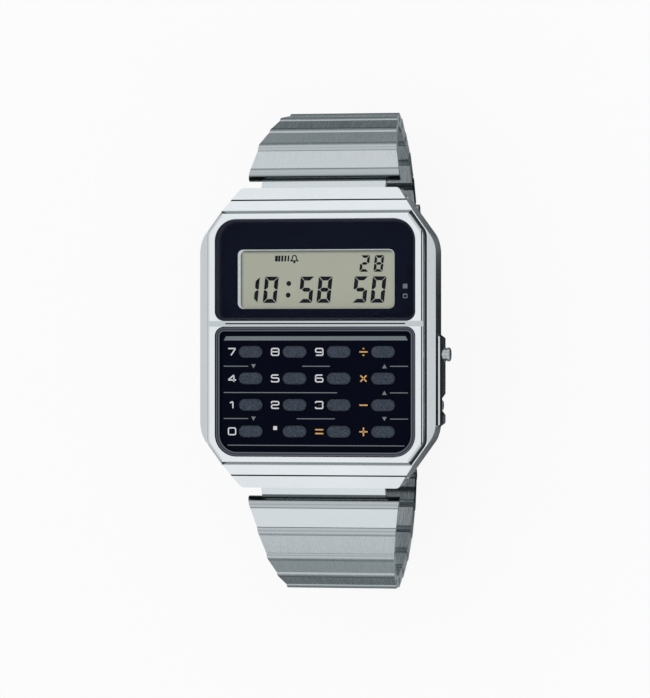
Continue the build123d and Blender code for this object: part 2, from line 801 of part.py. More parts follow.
def strap(name, side, angles, open_end):
    """Make one half of the strap from the case to the clasp and return its last pin."""
    pin = (side * lug_place, lug_height)
    for index, angle in enumerate(angles):
        plane = across(pin, angle, side)
        first = index == 0
        last = index == len(angles) - 1
        start = lip_start if first else 0
        length = end_pitch if first else link_pitch
        near = strap_width_at(index)
        far = strap_width_at(index + 1)
        with BuildPart() as link:
            with BuildSketch(plane):
                add(plate_outline(start, length, open_end and last))
            extrude(amount=near, both=True)
            with BuildSketch(along(plane)):
                add(plan_outline(start, length, near, far))
            extrude(amount=overrun, both=True, mode=Mode.INTERSECT)
            if not (open_end and last):
                with BuildSketch(plane):
                    add(knuckle(length))
                extrude(amount=knuckle_half(far), both=True)
            if first:
                with BuildSketch(plane):
                    Circle(lip_radius)
                    with Locations((start / 2, (tongue_top - plate_half) / 2)):
                        Rectangle(start, tongue_top + plate_half)
                extrude(amount=tongue_width / 2, both=True)
                with BuildSketch(plane):
                    Circle(bar_radius + pin_gap)
                extrude(amount=tongue_width, both=True, mode=Mode.SUBTRACT)
                with BuildSketch(plane):
                    Circle(bar_radius)
                extrude(amount=tongue_width / 2 - pin_inset, both=True)
                with BuildSketch(plane):
                    Circle(bar_tip_radius)
                extrude(amount=tongue_width / 2 + bar_tip, both=True)
            else:
                with BuildSketch(plane):
                    add(knuckle_slot())
                extrude(amount=knuckle_half(near) + knuckle_side_gap, both=True, mode=Mode.SUBTRACT)
                with BuildSketch(plane):
                    Circle(link_pin + pin_gap)
                extrude(amount=near, both=True, mode=Mode.SUBTRACT)
                with BuildSketch(plane):
                    Circle(link_pin)
                extrude(amount=near / 2 - pin_inset, both=True)
        write(link, name + "_link_" + str(index + 1))
        pin = next_pin(pin, angle, side, length)
    return pin


lower_end = strap("lower", -1, lower_angles, False)

# The last upper link closes the gap to the level of the clasp
level = (lug_place, lug_height)
for index, angle in enumerate(upper_angles):
    level = next_pin(level, angle, 1, link_pitch if index else end_pitch)
closing_angle = 180 - degrees(asin((level[1] - lower_end[1]) / link_pitch))
upper_end = strap("upper", 1, upper_angles + [closing_angle], True)

# Clasp. Its profile plane starts at the base's pin: the first coordinate runs towards twelve
# o'clock, the second out of the wrist.
clasp_run = upper_end[0] - lower_end[0]
clasp_plane = across(lower_end, 180, -1)
blade_hinge = clasp_run - blade_inset
cover_hinge = cover_inset
base_top = clasp_plate - base_sink
base_end = blade_hinge + hinge_radius
lever_pin_place = lever_tip + (blade_hinge - lever_tip) * lever_length_share


# Base plate: hinged to the lower strap, with ears for the blade and for the lever
ear_inner = blade_width / 2 + ear_gap
lever_inner = lever_width / 2 + ear_gap
with BuildPart() as clasp_base:
    with BuildSketch(clasp_plane):
        Circle(lip_radius)
    extrude(amount=narrow_width / 2, both=True)
    with BuildSketch(clasp_plane):
        bar(0, base_end, -base_sink, base_top)
    extrude(amount=base_width / 2, both=True)
    for side in (1, -1):
        with BuildSketch(clasp_plane.offset(side * ear_inner)):
            dot(blade_hinge, blade_hinge_height, hinge_radius)
            bar(blade_hinge - hinge_radius, base_end, base_top, blade_hinge_height)
        extrude(amount=side * ear_width)
        with BuildSketch(clasp_plane.offset(side * lever_inner)):
            dot(lever_pin_place, lever_pin_height, lever_barrel)
            bar(lever_pin_place - lever_barrel, lever_pin_place + lever_barrel, base_top, lever_pin_height)
        extrude(amount=side * lever_ear)
    with BuildSketch(clasp_plane):
        bar(lever_tip - lever_window_gap, lever_pin_place + lever_window_behind, -overrun, base_top)
    extrude(amount=lever_inner, both=True, mode=Mode.SUBTRACT)
    with BuildSketch(clasp_plane):
        dot(blade_hinge, blade_hinge_height, hinge_pin + pin_gap)
        dot(lever_pin_place, lever_pin_height, lever_pin + pin_gap)
    extrude(amount=clasp_width, both=True, mode=Mode.SUBTRACT)
    with BuildSketch(clasp_plane):
        add(knuckle_slot())
    extrude(amount=knuckle_half(narrow_width) + knuckle_side_gap, both=True, mode=Mode.SUBTRACT)
    with BuildSketch(clasp_plane):
        Circle(link_pin + pin_gap)
    extrude(amount=clasp_width, both=True, mode=Mode.SUBTRACT)
    with BuildSketch(clasp_plane):
        Circle(link_pin)
    extrude(amount=narrow_width / 2 - pin_inset, both=True)
    with BuildSketch(clasp_plane):
        dot(blade_hinge, blade_hinge_height, hinge_pin)
    extrude(amount=ear_inner + ear_width, both=True)
    with BuildSketch(clasp_plane):
        dot(lever_pin_place, lever_pin_height, lever_pin)
    extrude(amount=lever_inner + lever_ear, both=True)
write(clasp_base, "clasp_base")

# The strap's spare tail, held on the base by the lever
with BuildPart() as strap_tail:
    for index in range(tail_links):
        start = tail_start + index * link_pitch
        with BuildSketch(clasp_plane):
            bar(start, start + link_pitch - tail_space, base_top, base_top + tail_thickness)
        extrude(amount=tail_width / 2, both=True)
write(strap_tail, "strap_tail")

with BuildPart() as lock_lever:
    with BuildSketch(clasp_plane):
        dot(lever_pin_place, lever_pin_height, lever_barrel)
        bar(lever_pin_place - lever_barrel, lever_pin_place, -base_sink, lever_pin_height)
        bar(lever_tip, lever_pin_place - lever_barrel, -base_sink, lever_thickness - base_sink)
        dot(lever_pin_place, lever_pin_height, lever_pin + pin_gap, Mode.SUBTRACT)
    extrude(amount=lever_width / 2, both=True)
write(lock_lever, "lock_lever")

# Blade: folds out of the cover, with a knuckle at each end
with BuildPart() as clasp_blade:
    with BuildSketch(clasp_plane):
        dot(blade_hinge, blade_hinge_height, hinge_radius)
        dot(cover_hinge, cover_hinge_height, hinge_radius)
        bar(cover_hinge, blade_hinge, blade_bottom, blade_bottom + blade_thickness)
        dot(blade_hinge, blade_hinge_height, hinge_pin + pin_gap, Mode.SUBTRACT)
        dot(cover_hinge, cover_hinge_height, hinge_pin + pin_gap, Mode.SUBTRACT)
    extrude(amount=blade_width / 2, both=True)
write(clasp_blade, "clasp_blade")

# Cover: a shallow channel over the blade, with a lip that meets the upper strap
cover_start = cover_hinge - cover_tail
cover_block = base_end + clasp_gap
cover_plate_low = cover_face - clasp_plate
with BuildPart() as clasp_cover:
    with BuildSketch(clasp_plane):
        dot(clasp_run, 0, lip_radius)
        with BuildLine():
            Polyline((cover_start, cover_skirt), (cover_start, cover_face - cover_round),
                     (cover_start + cover_round, cover_face), (clasp_run - cover_slope, cover_face),
                     (clasp_run, lip_radius), (clasp_run, -lip_radius), (cover_block, -lip_radius),
                     (cover_block, cover_skirt), close=True)
        make_face()
    extrude(amount=clasp_width / 2, both=True)
    with BuildSketch(clasp_plane):
        bar(cover_start - overrun, cover_block, -overrun, cover_plate_low)
    extrude(amount=clasp_width / 2 - clasp_wall, both=True, mode=Mode.SUBTRACT)
    for side in (1, -1):
        with BuildSketch(clasp_plane.offset(side * ear_inner)):
            dot(cover_hinge, cover_hinge_height, hinge_radius)
            bar(cover_hinge - hinge_radius, cover_hinge + hinge_radius, cover_hinge_height, cover_plate_low)
        extrude(amount=side * ear_width)
    with BuildSketch(clasp_plane):
        dot(cover_hinge, cover_hinge_height, hinge_pin + pin_gap)
    extrude(amount=ear_inner + ear_width + fit, both=True, mode=Mode.SUBTRACT)
    with BuildSketch(clasp_plane):
        dot(clasp_run, 0, link_pin + pin_gap)
    extrude(amount=clasp_width, both=True, mode=Mode.SUBTRACT)
    with BuildSketch(clasp_plane):
        dot(cover_hinge, cover_hinge_height, hinge_pin)
    extrude(amount=ear_inner + ear_width, both=True)
    with BuildSketch(clasp_plane):
        dot(clasp_run, 0, link_pin)
    extrude(amount=narrow_width / 2, both=True)
write(clasp_cover, "clasp_cover")
print("upper end", upper_end, "lower end", lower_end, "closing angle", round(closing_angle, 2))
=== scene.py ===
# %% [markdown]
# # A calculator watch, dressed for its portrait
# The CAD part already has every solid in its real place and size. This lesson gives each piece the finish
# that the real one has, adds what is printed or shown on the dial, and sets up a small photo table round
# it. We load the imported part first. Its objects stay where they are, and everything new is placed in the
# same frame: +X is three o'clock, +Y is twelve o'clock, +Z points out of the dial, and Blender counts in
# metres.

# %% Load the watch
import json
import bmesh
import bpy
import numpy as np
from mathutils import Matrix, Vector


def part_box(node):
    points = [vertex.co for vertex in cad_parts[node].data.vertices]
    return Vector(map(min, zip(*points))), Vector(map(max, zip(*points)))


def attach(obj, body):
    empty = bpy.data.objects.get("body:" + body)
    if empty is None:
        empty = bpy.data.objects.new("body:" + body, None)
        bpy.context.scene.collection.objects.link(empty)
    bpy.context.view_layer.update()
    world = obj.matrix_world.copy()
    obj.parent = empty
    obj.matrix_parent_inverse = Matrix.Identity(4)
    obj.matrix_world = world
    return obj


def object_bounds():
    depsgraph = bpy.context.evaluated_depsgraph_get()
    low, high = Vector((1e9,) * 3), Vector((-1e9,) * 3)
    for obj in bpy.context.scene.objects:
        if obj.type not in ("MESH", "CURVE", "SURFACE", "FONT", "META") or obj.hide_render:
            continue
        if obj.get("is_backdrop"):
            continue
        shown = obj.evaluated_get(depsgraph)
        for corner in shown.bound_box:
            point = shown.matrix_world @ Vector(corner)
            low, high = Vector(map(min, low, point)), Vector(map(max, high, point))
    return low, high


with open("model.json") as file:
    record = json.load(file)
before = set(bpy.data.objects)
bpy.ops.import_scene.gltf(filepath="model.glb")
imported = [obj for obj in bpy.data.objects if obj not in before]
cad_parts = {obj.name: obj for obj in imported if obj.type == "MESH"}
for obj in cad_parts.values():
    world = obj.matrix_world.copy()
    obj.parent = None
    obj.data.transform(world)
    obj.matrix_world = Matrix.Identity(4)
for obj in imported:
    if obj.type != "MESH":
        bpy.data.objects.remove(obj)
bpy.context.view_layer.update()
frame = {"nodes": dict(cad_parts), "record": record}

# %% [markdown]
# ## Millimetres and paint-chart colours
# A watch is drawn in millimetres, so our own sizes are too, and one factor turns them into metres. Colours
# are easiest to pick as the hex values of a paint chart. Those are stored for the eye, while the renderer
# adds up light, so one function turns the first into the second.

# %% Units and colours
MM = 0.001


def paint(code):
    """A hex colour as linear light. Each part c of it becomes ((c + 0.055) / 1.055) to the power 2.4, or
    c / 12.92 near black."""
    parts = np.array([int(code[i:i + 2], 16) for i in (0, 2, 4)]) / 255
    light = np.where(parts <= 0.04045, parts / 12.92, ((parts + 0.055) / 1.055) ** 2.4)
    return (*light.tolist(), 1.0)


print("mid grey as light:", round(paint("808080")[0], 3))

# %% [markdown]
# ## One helper for every node
# A finish in Blender is a small network: a texture goes through a few nodes into a socket of the main
# shader. All the networks below are built with the same function. It adds one node, sets what it has to
# know, plugs in what feeds it, and hands back the output that the next node needs. Two sets of choices come
# back all the time, so they have names here.

# %% Node helper
# A smooth step has its inputs in this order: value, from low, from high, to low, to high.
SMOOTH = {"interpolation_type": "SMOOTHSTEP"}
# A mix of colours takes its share in socket 0 and the colours in 6 and 7, and gives its result as output 2.
COLOURS = {"data_type": "RGBA", "take": 2}
# Noise hardly leaves the first range, so a step over it shows every tone. One over the second is crisper.
NOISE, CRISP_NOISE = (0.3, 0.7), (0.35, 0.65)


def add(tree, kind, inputs=(), take=0, **settings):
    """Adds one node and returns its output take, or the node itself if take is None or it has no output.
    settings are the node's own choices. inputs fill its sockets by name, or in order from the first. Each is
    a number, a hex colour, or the output that feeds the socket."""
    made = tree.nodes.new("ShaderNode" + kind)
    for name, value in settings.items():
        setattr(made, name, value)
    named = inputs if isinstance(inputs, dict) else dict(enumerate(inputs))
    for name, value in named.items():
        socket = made.inputs[name]
        if isinstance(value, bpy.types.NodeSocket):
            tree.links.new(value, socket)
        else:
            socket.default_value = paint(value) if isinstance(value, str) else value
    return made if take is None or len(made.outputs) == 0 else made.outputs[take]


def finish_tree(name):
    """An empty material and its node tree."""
    material = bpy.data.materials.new(name)
    material.use_nodes = True
    material.node_tree.nodes.clear()
    return material, material.node_tree


def grain(tree, per_mm, detail=2.0):
    """Noise on the piece itself, with so many grains to a millimetre along x, y and z."""
    place = add(tree, "TexCoord", take="Object")
    scaled = add(tree, "Mapping", {"Vector": place, "Scale": tuple(count / MM for count in per_mm)})
    return add(tree, "TexNoise", {"Vector": scaled, "Scale": 1.0, "Detail": detail}, take="Fac")


print("node helper ready")

# %% [markdown]
# ## The photographer's place
# The picture was taken from over half a metre away with a long lens, almost straight above the dial and
# eleven degrees towards three o'clock. A long lens keeps the bezel's sides parallel. We give the camera the
# three axes of its own view and the point it stands on.

# %% Camera
from mathutils import Matrix, Vector

lens_mm, sensor_mm, furthest_m = 198.6, 36, 20
camera_place = np.array([106.41, -1.61, 547.79])
camera_right = np.array([0.9816, 0.0, -0.1908])
camera_back = np.array([0.1908, 0.0, 0.9816])

camera = bpy.data.objects.new("camera", bpy.data.cameras.new("camera"))
camera.data.lens = lens_mm
camera.data.sensor_width = sensor_mm
camera.data.clip_end = furthest_m
camera_axes = np.eye(4)
camera_axes[:3, 0] = camera_right
camera_axes[:3, 1] = np.cross(camera_back, camera_right)
camera_axes[:3, 2] = camera_back
camera_axes[:3, 3] = camera_place * MM
camera.matrix_world = Matrix(camera_axes.tolist())
bpy.context.collection.objects.link(camera)
bpy.context.scene.camera = camera
print("camera stands", round(float(np.linalg.norm(camera_place))), "mm away")

# %% [markdown]
# ## From points to a mesh
# Every shape below is an array of points in millimetres and a list of faces. A grid is the plainest case:
# its points are numbered row by row, so the corners of each cell follow from that number. One function
# turns points and faces into a mesh in metres, and makes all its faces look outwards.

# %% Grids and meshes
def grid_faces(rows, columns):
    """Four corners for every cell of a grid whose points are numbered row by row."""
    corner = np.arange((rows - 1) * columns).reshape(rows - 1, columns)[:, :-1].ravel()
    return np.stack([corner, corner + columns, corner + columns + 1, corner + 1], 1)


def new_mesh(name, points, faces, finish):
    """Puts points in mm and faces, lists of point numbers, into a mesh whose faces look outwards."""
    mesh = bpy.data.meshes.new(name)
    mesh.from_pydata((np.asarray(points, float) * MM).tolist(), [], [list(face) for face in faces])
    shell = bmesh.new()
    shell.from_mesh(mesh)
    bmesh.ops.recalc_face_normals(shell, faces=shell.faces)
    shell.to_mesh(mesh)
    shell.free()
    mesh.materials.append(finish)
    made = bpy.data.objects.new(name, mesh)
    bpy.context.collection.objects.link(made)
    return made


print("a grid of 3 by 3 points has", len(grid_faces(3, 3)), "cells")

# %% [markdown]
# ## A pale table
# The watch stands on its clasp, so the table starts where the clasp ends. It is a flat sheet, wide enough
# to fill the picture. Part of its brightness is its own for the rays that show it, straight or in metal and
# glass, and the rest is plain matt paint, which still takes the watch's soft shadow.

# %% Table
own_part, own_strength, paint_roughness = 0.86, 1.08, 0.8
table_half, table_count = 3000, 25

# Matt off-white paint, without any gloss, so that nothing but a soft shadow shows on it.
table_paint, tree = finish_tree("matt_table_paint")
rays = add(tree, "LightPath", take=None).outputs
seen = add(tree, "Math", (rays["Is Camera Ray"], rays["Is Glossy Ray"]), operation="MAXIMUM")
seen = add(tree, "Math", (seen, rays["Is Transmission Ray"]), operation="MAXIMUM")
own_share = add(tree, "Math", (seen, own_part), operation="MULTIPLY")
matt = add(tree, "BsdfDiffuse", {"Color": "F8F8F8", "Roughness": paint_roughness})
own = add(tree, "Emission", {"Color": "F8F8F8", "Strength": own_strength})
add(tree, "OutputMaterial", {"Surface": add(tree, "MixShader", (own_share, matt, own))})

table_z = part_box("clasp_cover")[0].z / MM
steps = np.linspace(-table_half, table_half, table_count)
across, along = np.meshgrid(steps, steps, indexing="ij")
table_points = np.stack([across, along, np.full_like(across, table_z)], -1).reshape(-1, 3)
table = new_mesh("table", table_points, grid_faces(table_count, table_count), table_paint)
table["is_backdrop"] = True
print("table at z =", round(table_z, 2), "mm")

# %% [markdown]
# ## Soft light
# Polished metal shows its surroundings and nothing else. A photographer hangs one soft lamp high over the
# dial and stands two wide ones off its twelve and six o'clock ends, so that the sloping facets there have
# something bright to show. White walls fill in the rest.

# %% Lamps and walls
wall_strength = 0.75
world = bpy.data.worlds.new("white_walls")
bpy.context.scene.world = world
world.use_nodes = True
world.node_tree.nodes.clear()
walls = add(world.node_tree, "Background", {"Color": "F8F9FA", "Strength": wall_strength})
add(world.node_tree, "OutputWorld", {"Surface": walls})


def soft_lamp(name, place, wide, tall, watts):
    """A flat lamp of wide by tall mm at place, turned to face the watch."""
    lamp = bpy.data.lights.new(name, "AREA")
    lamp.shape = "RECTANGLE"
    lamp.size, lamp.size_y = wide * MM, tall * MM
    lamp.energy = watts
    made = bpy.data.objects.new(name, lamp)
    stand = Vector(place) * MM
    made.matrix_world = Matrix.Translation(stand) @ (-stand).to_track_quat("-Z", "Y").to_matrix().to_4x4()
    bpy.context.collection.objects.link(made)


soft_lamp("lamp_overhead", (-120, 60, 700), 560, 560, 0.25)
soft_lamp("lamp_twelve", (0, 503, 327), 700, 365, 0.225)
soft_lamp("lamp_six", (0, -503, 327), 700, 365, 0.215)
bpy.context.scene.view_settings.view_transform = "Standard"
print("three lamps and white walls")

# %% [markdown]
# ## Something dark to reflect
# Among white walls alone, bright metal would look like paper. So a round card lies under the watch and
# rises like a shallow tray round it. It is near black in the middle and changes tone outwards and upwards,
# which draws the dark lines on the bezel and shades the links that turn away. It is a profile turned about
# the dial's axis. Only reflections see it, so it takes no light away and never shows in the picture.

# %% Graded card
# Matt card, near black under the watch, with a faint paper grain 5 mm wide. Each tone comes in between two
# distances from the axis, in mm, and the palest one comes in between two heights.
card_tones = [(25, 34, "B4BABC"), (42, 49, "666C6E"), (60, 70, "A8AEB0")]
rim_tone = (-25, -2, "D8DEE0")
card_paint, tree = finish_tree("graded_card")
card_place = add(tree, "TexCoord", take="Object")
card_flat = add(tree, "VectorMath", (card_place, (1, 1, 0)), operation="MULTIPLY")
card_reach = add(tree, "VectorMath", (card_flat,), operation="LENGTH", take="Value")
card_height = add(tree, "SeparateXYZ", (card_place,), take="Z")
card_colour = "262B2D"
for feed, (start, end, tone) in [(card_reach, tones) for tones in card_tones] + [(card_height, rim_tone)]:
    share = add(tree, "MapRange", (feed, start * MM, end * MM, 0.0, 1.0), **SMOOTH)
    card_colour = add(tree, "Mix", {0: share, 6: card_colour, 7: tone}, **COLOURS)
fibre = add(tree, "MapRange", (grain(tree, (0.2, 0.2, 0.2)), *CRISP_NOISE, 0.8, 0.95), **SMOOTH)
card = add(tree, "BsdfPrincipled", {"Base Color": card_colour, "Roughness": fibre, "Specular IOR Level": 0.0})
add(tree, "OutputMaterial", {"Surface": card})

card_z, card_radius, card_slope, card_steps = table_z + 0.3, 100, 4, 65
card_profile = np.array([(4, card_z), (30, card_z), (60, card_z), (card_radius, table_z + card_slope),
                         (card_radius, 0)])
turn = np.linspace(0, 2 * np.pi, card_steps)[:, None]
card_points = np.stack([card_profile[:, 0] * np.cos(turn), card_profile[:, 0] * np.sin(turn),
                        np.broadcast_to(card_profile[:, 1], (card_steps, len(card_profile)))], -1)
dark_cards = new_mesh("dark_cards", card_points.reshape(-1, 3), grid_faces(card_steps, len(card_profile)),
                      card_paint)
for ray in ("camera", "diffuse", "transmission", "shadow", "volume_scatter"):
    setattr(dark_cards, "visible_" + ray, False)
dark_cards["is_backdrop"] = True
print("card reaches", card_radius, "mm from the axis")

# %% [markdown]
# ## Painted shade in narrow places
# Narrow places hold shade and show dark reflections, so the recesses, the grooves, the foot of the bezel and
# a few lines along its edges get painted shade in the chrome's colour, and a duller finish. We name those
# places as boxes in millimetres. A point is in a box when its distances in from all six sides are above
# nought, so the smallest of them decides.

# %% Box test
def within(tree, place, low, high):
    """1 where a place lies between the corners low and high, in mm, and 0 elsewhere: the smallest of its
    distances to the six sides is above nought."""
    from_low = add(tree, "VectorMath", (place, np.multiply(low, MM)), operation="SUBTRACT")
    to_high = add(tree, "VectorMath", (np.multiply(high, MM), place), operation="SUBTRACT")
    least = add(tree, "VectorMath", (from_low, to_high), operation="MINIMUM")
    sides = add(tree, "SeparateXYZ", (least,), take=None).outputs
    least = add(tree, "Math", (sides["X"], sides["Y"]), operation="MINIMUM")
    least = add(tree, "Math", (least, sides["Z"]), operation="MINIMUM")
    return add(tree, "Math", (least, 0.0), operation="GREATER_THAN")


# Each box below gets painted shade: near black in the chrome's colour, with a rougher finish.
# Alike in all four quarters of the case, so these are tested on x and y without their signs.
quarter_shade_boxes = [
    ((-1, 18.7, 0.5), (11.7, 21.63, 4.34)),         # strap recess and end wall
    ((-1, 19.7, 5.2), (14.5, 19.9, 5.68)),          # groove of each end
    ((15.6, -1, 6.81), (16.07, 18.3, 7.62)),        # foot of the bezel, along its sides
    ((13.75, 15.0, 6.81), (16.07, 18.3, 7.62)),     # foot of the bezel, at its corners
]
# In one place only.
single_shade_boxes = [
    ((15.42, -15.4, 8.04), (15.56, 15.4, 8.19)),    # edge of the bezel's face at three o'clock
    ((17.1, -12.6, 5.0), (17.38, 0.4, 6.12)),       # upper line beside the pusher guard
    ((17.6, -12.6, 3.5), (18.0, 0.4, 4.9)),         # lower line beside it
    ((-13.1, 1.93, 7.9), (13.1, 2.12, 8.0)),        # line between the windows
]
# Painted shade as well: a light grey on both sides of the line between the windows, and a mid grey in the
# colour, not the finish, on the foot of the bezel at both ends.
divider_shade_box = ((-16, 1.55, 7.9), (16, 2.45, 8.0))        # greyer floor on both sides of that line
end_foot_shade_box = ((-1, 17.6, 6.81), (14.2, 18.25, 8.09))  # half-dull foot of the bezel at both ends
print(len(quarter_shade_boxes) + len(single_shade_boxes), "hollows")

# %% [markdown]
# ## Chromed case
# The case and its bezel are moulded, plated with chrome and polished. Chrome is nearly white and reflects
# sharply, but the plate over a moulding is never a perfect mirror: it has a slow waviness and a fine haze.
# Both come from noise, one 3 mm wide in the bump and one of 0.25 mm in the roughness.

# %% Chrome
# Mirror bright and nearly white, with soft edges to what it reflects, and with painted shade and a duller
# finish in the hollows. A slow change of tone over 7 mm keeps it from looking like paint.
wave_height, hollow_roughness = 0.0015, 0.5
chrome_finish, tree = finish_tree("polished_chrome_plate")
haze = add(tree, "MapRange", (grain(tree, (4, 4, 4)), *NOISE, 0.10, 0.16), **SMOOTH)
wave_pattern = grain(tree, (0.33, 0.33, 0.33), 1.0)
waves = add(tree, "Bump", {"Height": wave_pattern, "Distance": wave_height * MM})
chrome_colour = add(tree, "Mix", {0: grain(tree, (0.15, 0.15, 0.15)), 6: "DFE5E8", 7: "E9EEF0"}, **COLOURS)

place = add(tree, "TexCoord", take="Object")
folded = add(tree, "VectorMath", (place,), operation="ABSOLUTE")
painted_shade_and_dull = 0.0
for spot, hollows in ((folded, quarter_shade_boxes), (place, single_shade_boxes)):
    for low, high in hollows:
        painted_shade_and_dull = add(tree, "Math", (painted_shade_and_dull, within(tree, spot, low, high)), operation="MAXIMUM")
# Painted shade: grey about the line between the windows, darker on the bezel's foot at its ends, and near
# black in the hollows, which are also rougher.
for spot, box, tone in ((place, divider_shade_box, "C3CACC"), (folded, end_foot_shade_box, "70787A")):
    chrome_colour = add(tree, "Mix", {0: within(tree, spot, *box), 6: chrome_colour, 7: tone}, **COLOURS)
chrome_colour = add(tree, "Mix", {0: painted_shade_and_dull, 6: chrome_colour, 7: "2C3335"}, **COLOURS)
dull = add(tree, "Mix", {0: painted_shade_and_dull, 2: haze, 3: hollow_roughness}, data_type="FLOAT")
chrome = add(tree, "BsdfPrincipled", {"Base Color": chrome_colour, "Metallic": 1.0, "Roughness": dull,
                                      "Normal": waves})
add(tree, "OutputMaterial", {"Surface": chrome})
print("chrome network has", len(tree.nodes), "nodes")

# %% [markdown]
# ## Finding the strap's lips
# Each link ends in a round lip about its pin. The record says where every hinge is, so we walk along both
# halves of the strap and list the pins. The first link on each side has its lip part of the way from the
# spring bar to the next pin. In front of each lip is a thin gap, which is always in shade: it is what a
# circle set a little nearer the case leaves outside the lip's own circle, so we list those circles too.

# %% Pins of the strap
def distance_to_pins(tree, pins):
    """The shortest distance in mm from a point to any of the pins, which run along x at the given (y, z)."""
    place = add(tree, "TexCoord", take="Object")
    flat = add(tree, "VectorMath", (place, (0, 1, 1)), operation="MULTIPLY")
    nearest = 1.0   # m, further than any pin
    for y, z in pins:
        gap = add(tree, "VectorMath", (flat, (0, y, z)), operation="DISTANCE", take="Value")
        nearest = add(tree, "Math", (gap, nearest), operation="MINIMUM")
    return add(tree, "Math", (nearest, 1 / MM), operation="MULTIPLY")


first_lip_run, first_link_run, gap_shift = 4.1, 8.6, 0.1
hinge_places = {joint["name"]: np.array(joint["pos_m"][1:])
                for joint in frame["record"]["behaviour"]["joints"] if joint["type"] == "hinge"}
pins, gaps = [], []
for half in ("upper", "lower"):
    chain = [place for name, place in hinge_places.items() if name.startswith(half)]
    chain.insert(1, chain[0] + (chain[1] - chain[0]) * first_lip_run / first_link_run)
    for before, here in zip(chain, chain[1:]):
        towards_case = (before - here) / np.linalg.norm(before - here)
        pins.append(here.tolist())
        gaps.append((here + towards_case * gap_shift * MM).tolist())
print(len(pins), "lips along the strap")

# %% [markdown]
# ## Brushed strap steel
# Each link is rolled from thin stainless steel and brushed along the strap, then its round lip is polished.
# The brush leaves scratches a few hundredths of a millimetre wide, which are drawn five times as wide here
# so that they show. Noise that changes fast along x and slowly along y and z makes them run along the strap
# however a link is turned. The shortest distance to a pin tells the lips from the flats.

# %% Strap steel
# Satin flats with fine lines along the strap, and polished lips.
lip_radius, scratch_depth, lip_roughness = 1.0, 0.0025, 0.2
polish_fades = (lip_radius + 0.02, lip_radius + 0.12)
lip_ends = (lip_radius + 0.01, lip_radius + 0.03)
gap_ends = (lip_radius + 0.06, lip_radius + 0.1)
strap_finish, tree = finish_tree("brushed_stainless_strap")
scratches = grain(tree, (7, 0.2, 0.2), 3.0)
to_pin = distance_to_pins(tree, pins)
flat_part = add(tree, "MapRange", (to_pin, *polish_fades, 0.0, 1.0), **SMOOTH)
brushed = add(tree, "MapRange", (scratches, *NOISE, 0.24, 0.34), **SMOOTH)
rough = add(tree, "Mix", {0: flat_part, 2: lip_roughness, 3: brushed}, data_type="FLOAT")
line_depth = add(tree, "Math", (scratches, flat_part), operation="MULTIPLY")
lines = add(tree, "Bump", {"Height": line_depth, "Distance": scratch_depth * MM})
flat_colour = add(tree, "Mix", {0: scratches, 6: "D0D7DA", 7: "E6EBED"}, **COLOURS)
steel_colour = add(tree, "Mix", {0: flat_part, 6: "B6BDC0", 7: flat_colour}, **COLOURS)

# The thin gap in front of each lip.
off_lip = add(tree, "MapRange", (to_pin, *lip_ends, 0.0, 1.0), **SMOOTH)
in_gap = add(tree, "MapRange", (distance_to_pins(tree, gaps), *gap_ends, 1.0, 0.0), **SMOOTH)
gap = add(tree, "Math", (off_lip, in_gap), operation="MULTIPLY")
steel_colour = add(tree, "Mix", {0: gap, 6: steel_colour, 7: "33393B"}, **COLOURS)

# The rounded front of the first lip gets a painted dark reflection of the recess of the case. It lies between
# these two fades, in mm from the dial's middle towards either end.
front_starts, front_ends = (22.62, 22.7), (23.1, 23.9)
either_way = add(tree, "VectorMath", (add(tree, "TexCoord", take="Object"),), operation="ABSOLUTE")
to_end = add(tree, "SeparateXYZ", (either_way,), take="Y")
past_front = add(tree, "MapRange", (to_end, *np.multiply(front_ends, MM), 0.0, 1.0), **SMOOTH)
before_front = add(tree, "MapRange", (to_end, *np.multiply(front_starts, MM), 1.0, 0.0), **SMOOTH)
clear_of_painted_reflection = add(tree, "Math", (past_front, before_front), operation="MAXIMUM")
steel_colour = add(tree, "Mix", {0: clear_of_painted_reflection, 6: "5A6264", 7: steel_colour}, **COLOURS)
steel = add(tree, "BsdfPrincipled", {"Base Color": steel_colour, "Metallic": 1.0, "Roughness": rough,
                                     "Normal": lines})
add(tree, "OutputMaterial", {"Surface": steel})
print("strap steel network has", len(tree.nodes), "nodes")

# %% [markdown]
# ## Brushed back and turned steel
# The case back is a pressed steel plate, brushed straight across. The pushers are turned from steel rod. The
# coin cell, the strap over it and the screws are bright plated steel, and the buzzer is a thin brass disc.
# They share a recipe in which the brush direction, the depth of its lines and the gloss differ.

# %% Other metals
def metal_finish(name, dark, light, lines_per_mm, smoothest, roughest, depth):
    """A metal whose colour, gloss and bump follow one grain, with so many lines to a mm along x, y and z."""
    material, tree = finish_tree(name)
    lines = grain(tree, lines_per_mm, 3.0)
    metal = add(tree, "BsdfPrincipled", {
        "Base Color": add(tree, "Mix", {0: lines, 6: dark, 7: light}, **COLOURS),
        "Metallic": 1.0,
        "Roughness": add(tree, "MapRange", (lines, *NOISE, smoothest, roughest), **SMOOTH),
        "Normal": add(tree, "Bump", {"Height": lines, "Distance": depth * MM})})
    add(tree, "OutputMaterial", {"Surface": metal})
    return material


# Straight satin lines across the back. Real ones are too fine to show, so these are 0.17 mm wide.
back_finish = metal_finish("brushed_stainless_back", "B4BCBF", "CFD5D7", (0.15, 6, 0.3), 0.26, 0.38, 0.004)
# Round bright heads with faint tool marks, 0.2 mm wide and so coarser than real ones.
pusher_finish = metal_finish("turned_stainless_steel", "A6ADB0", "BEC4C6", (5, 0.8, 0.8), 0.12, 0.22, 0.002)
# Nickel-plated cell, even and slightly warm.
cell_finish = metal_finish("nickel_plated_can", "B9B8B0", "CFCEC6", (1.2, 1.2, 1.2), 0.2, 0.3, 0.001)
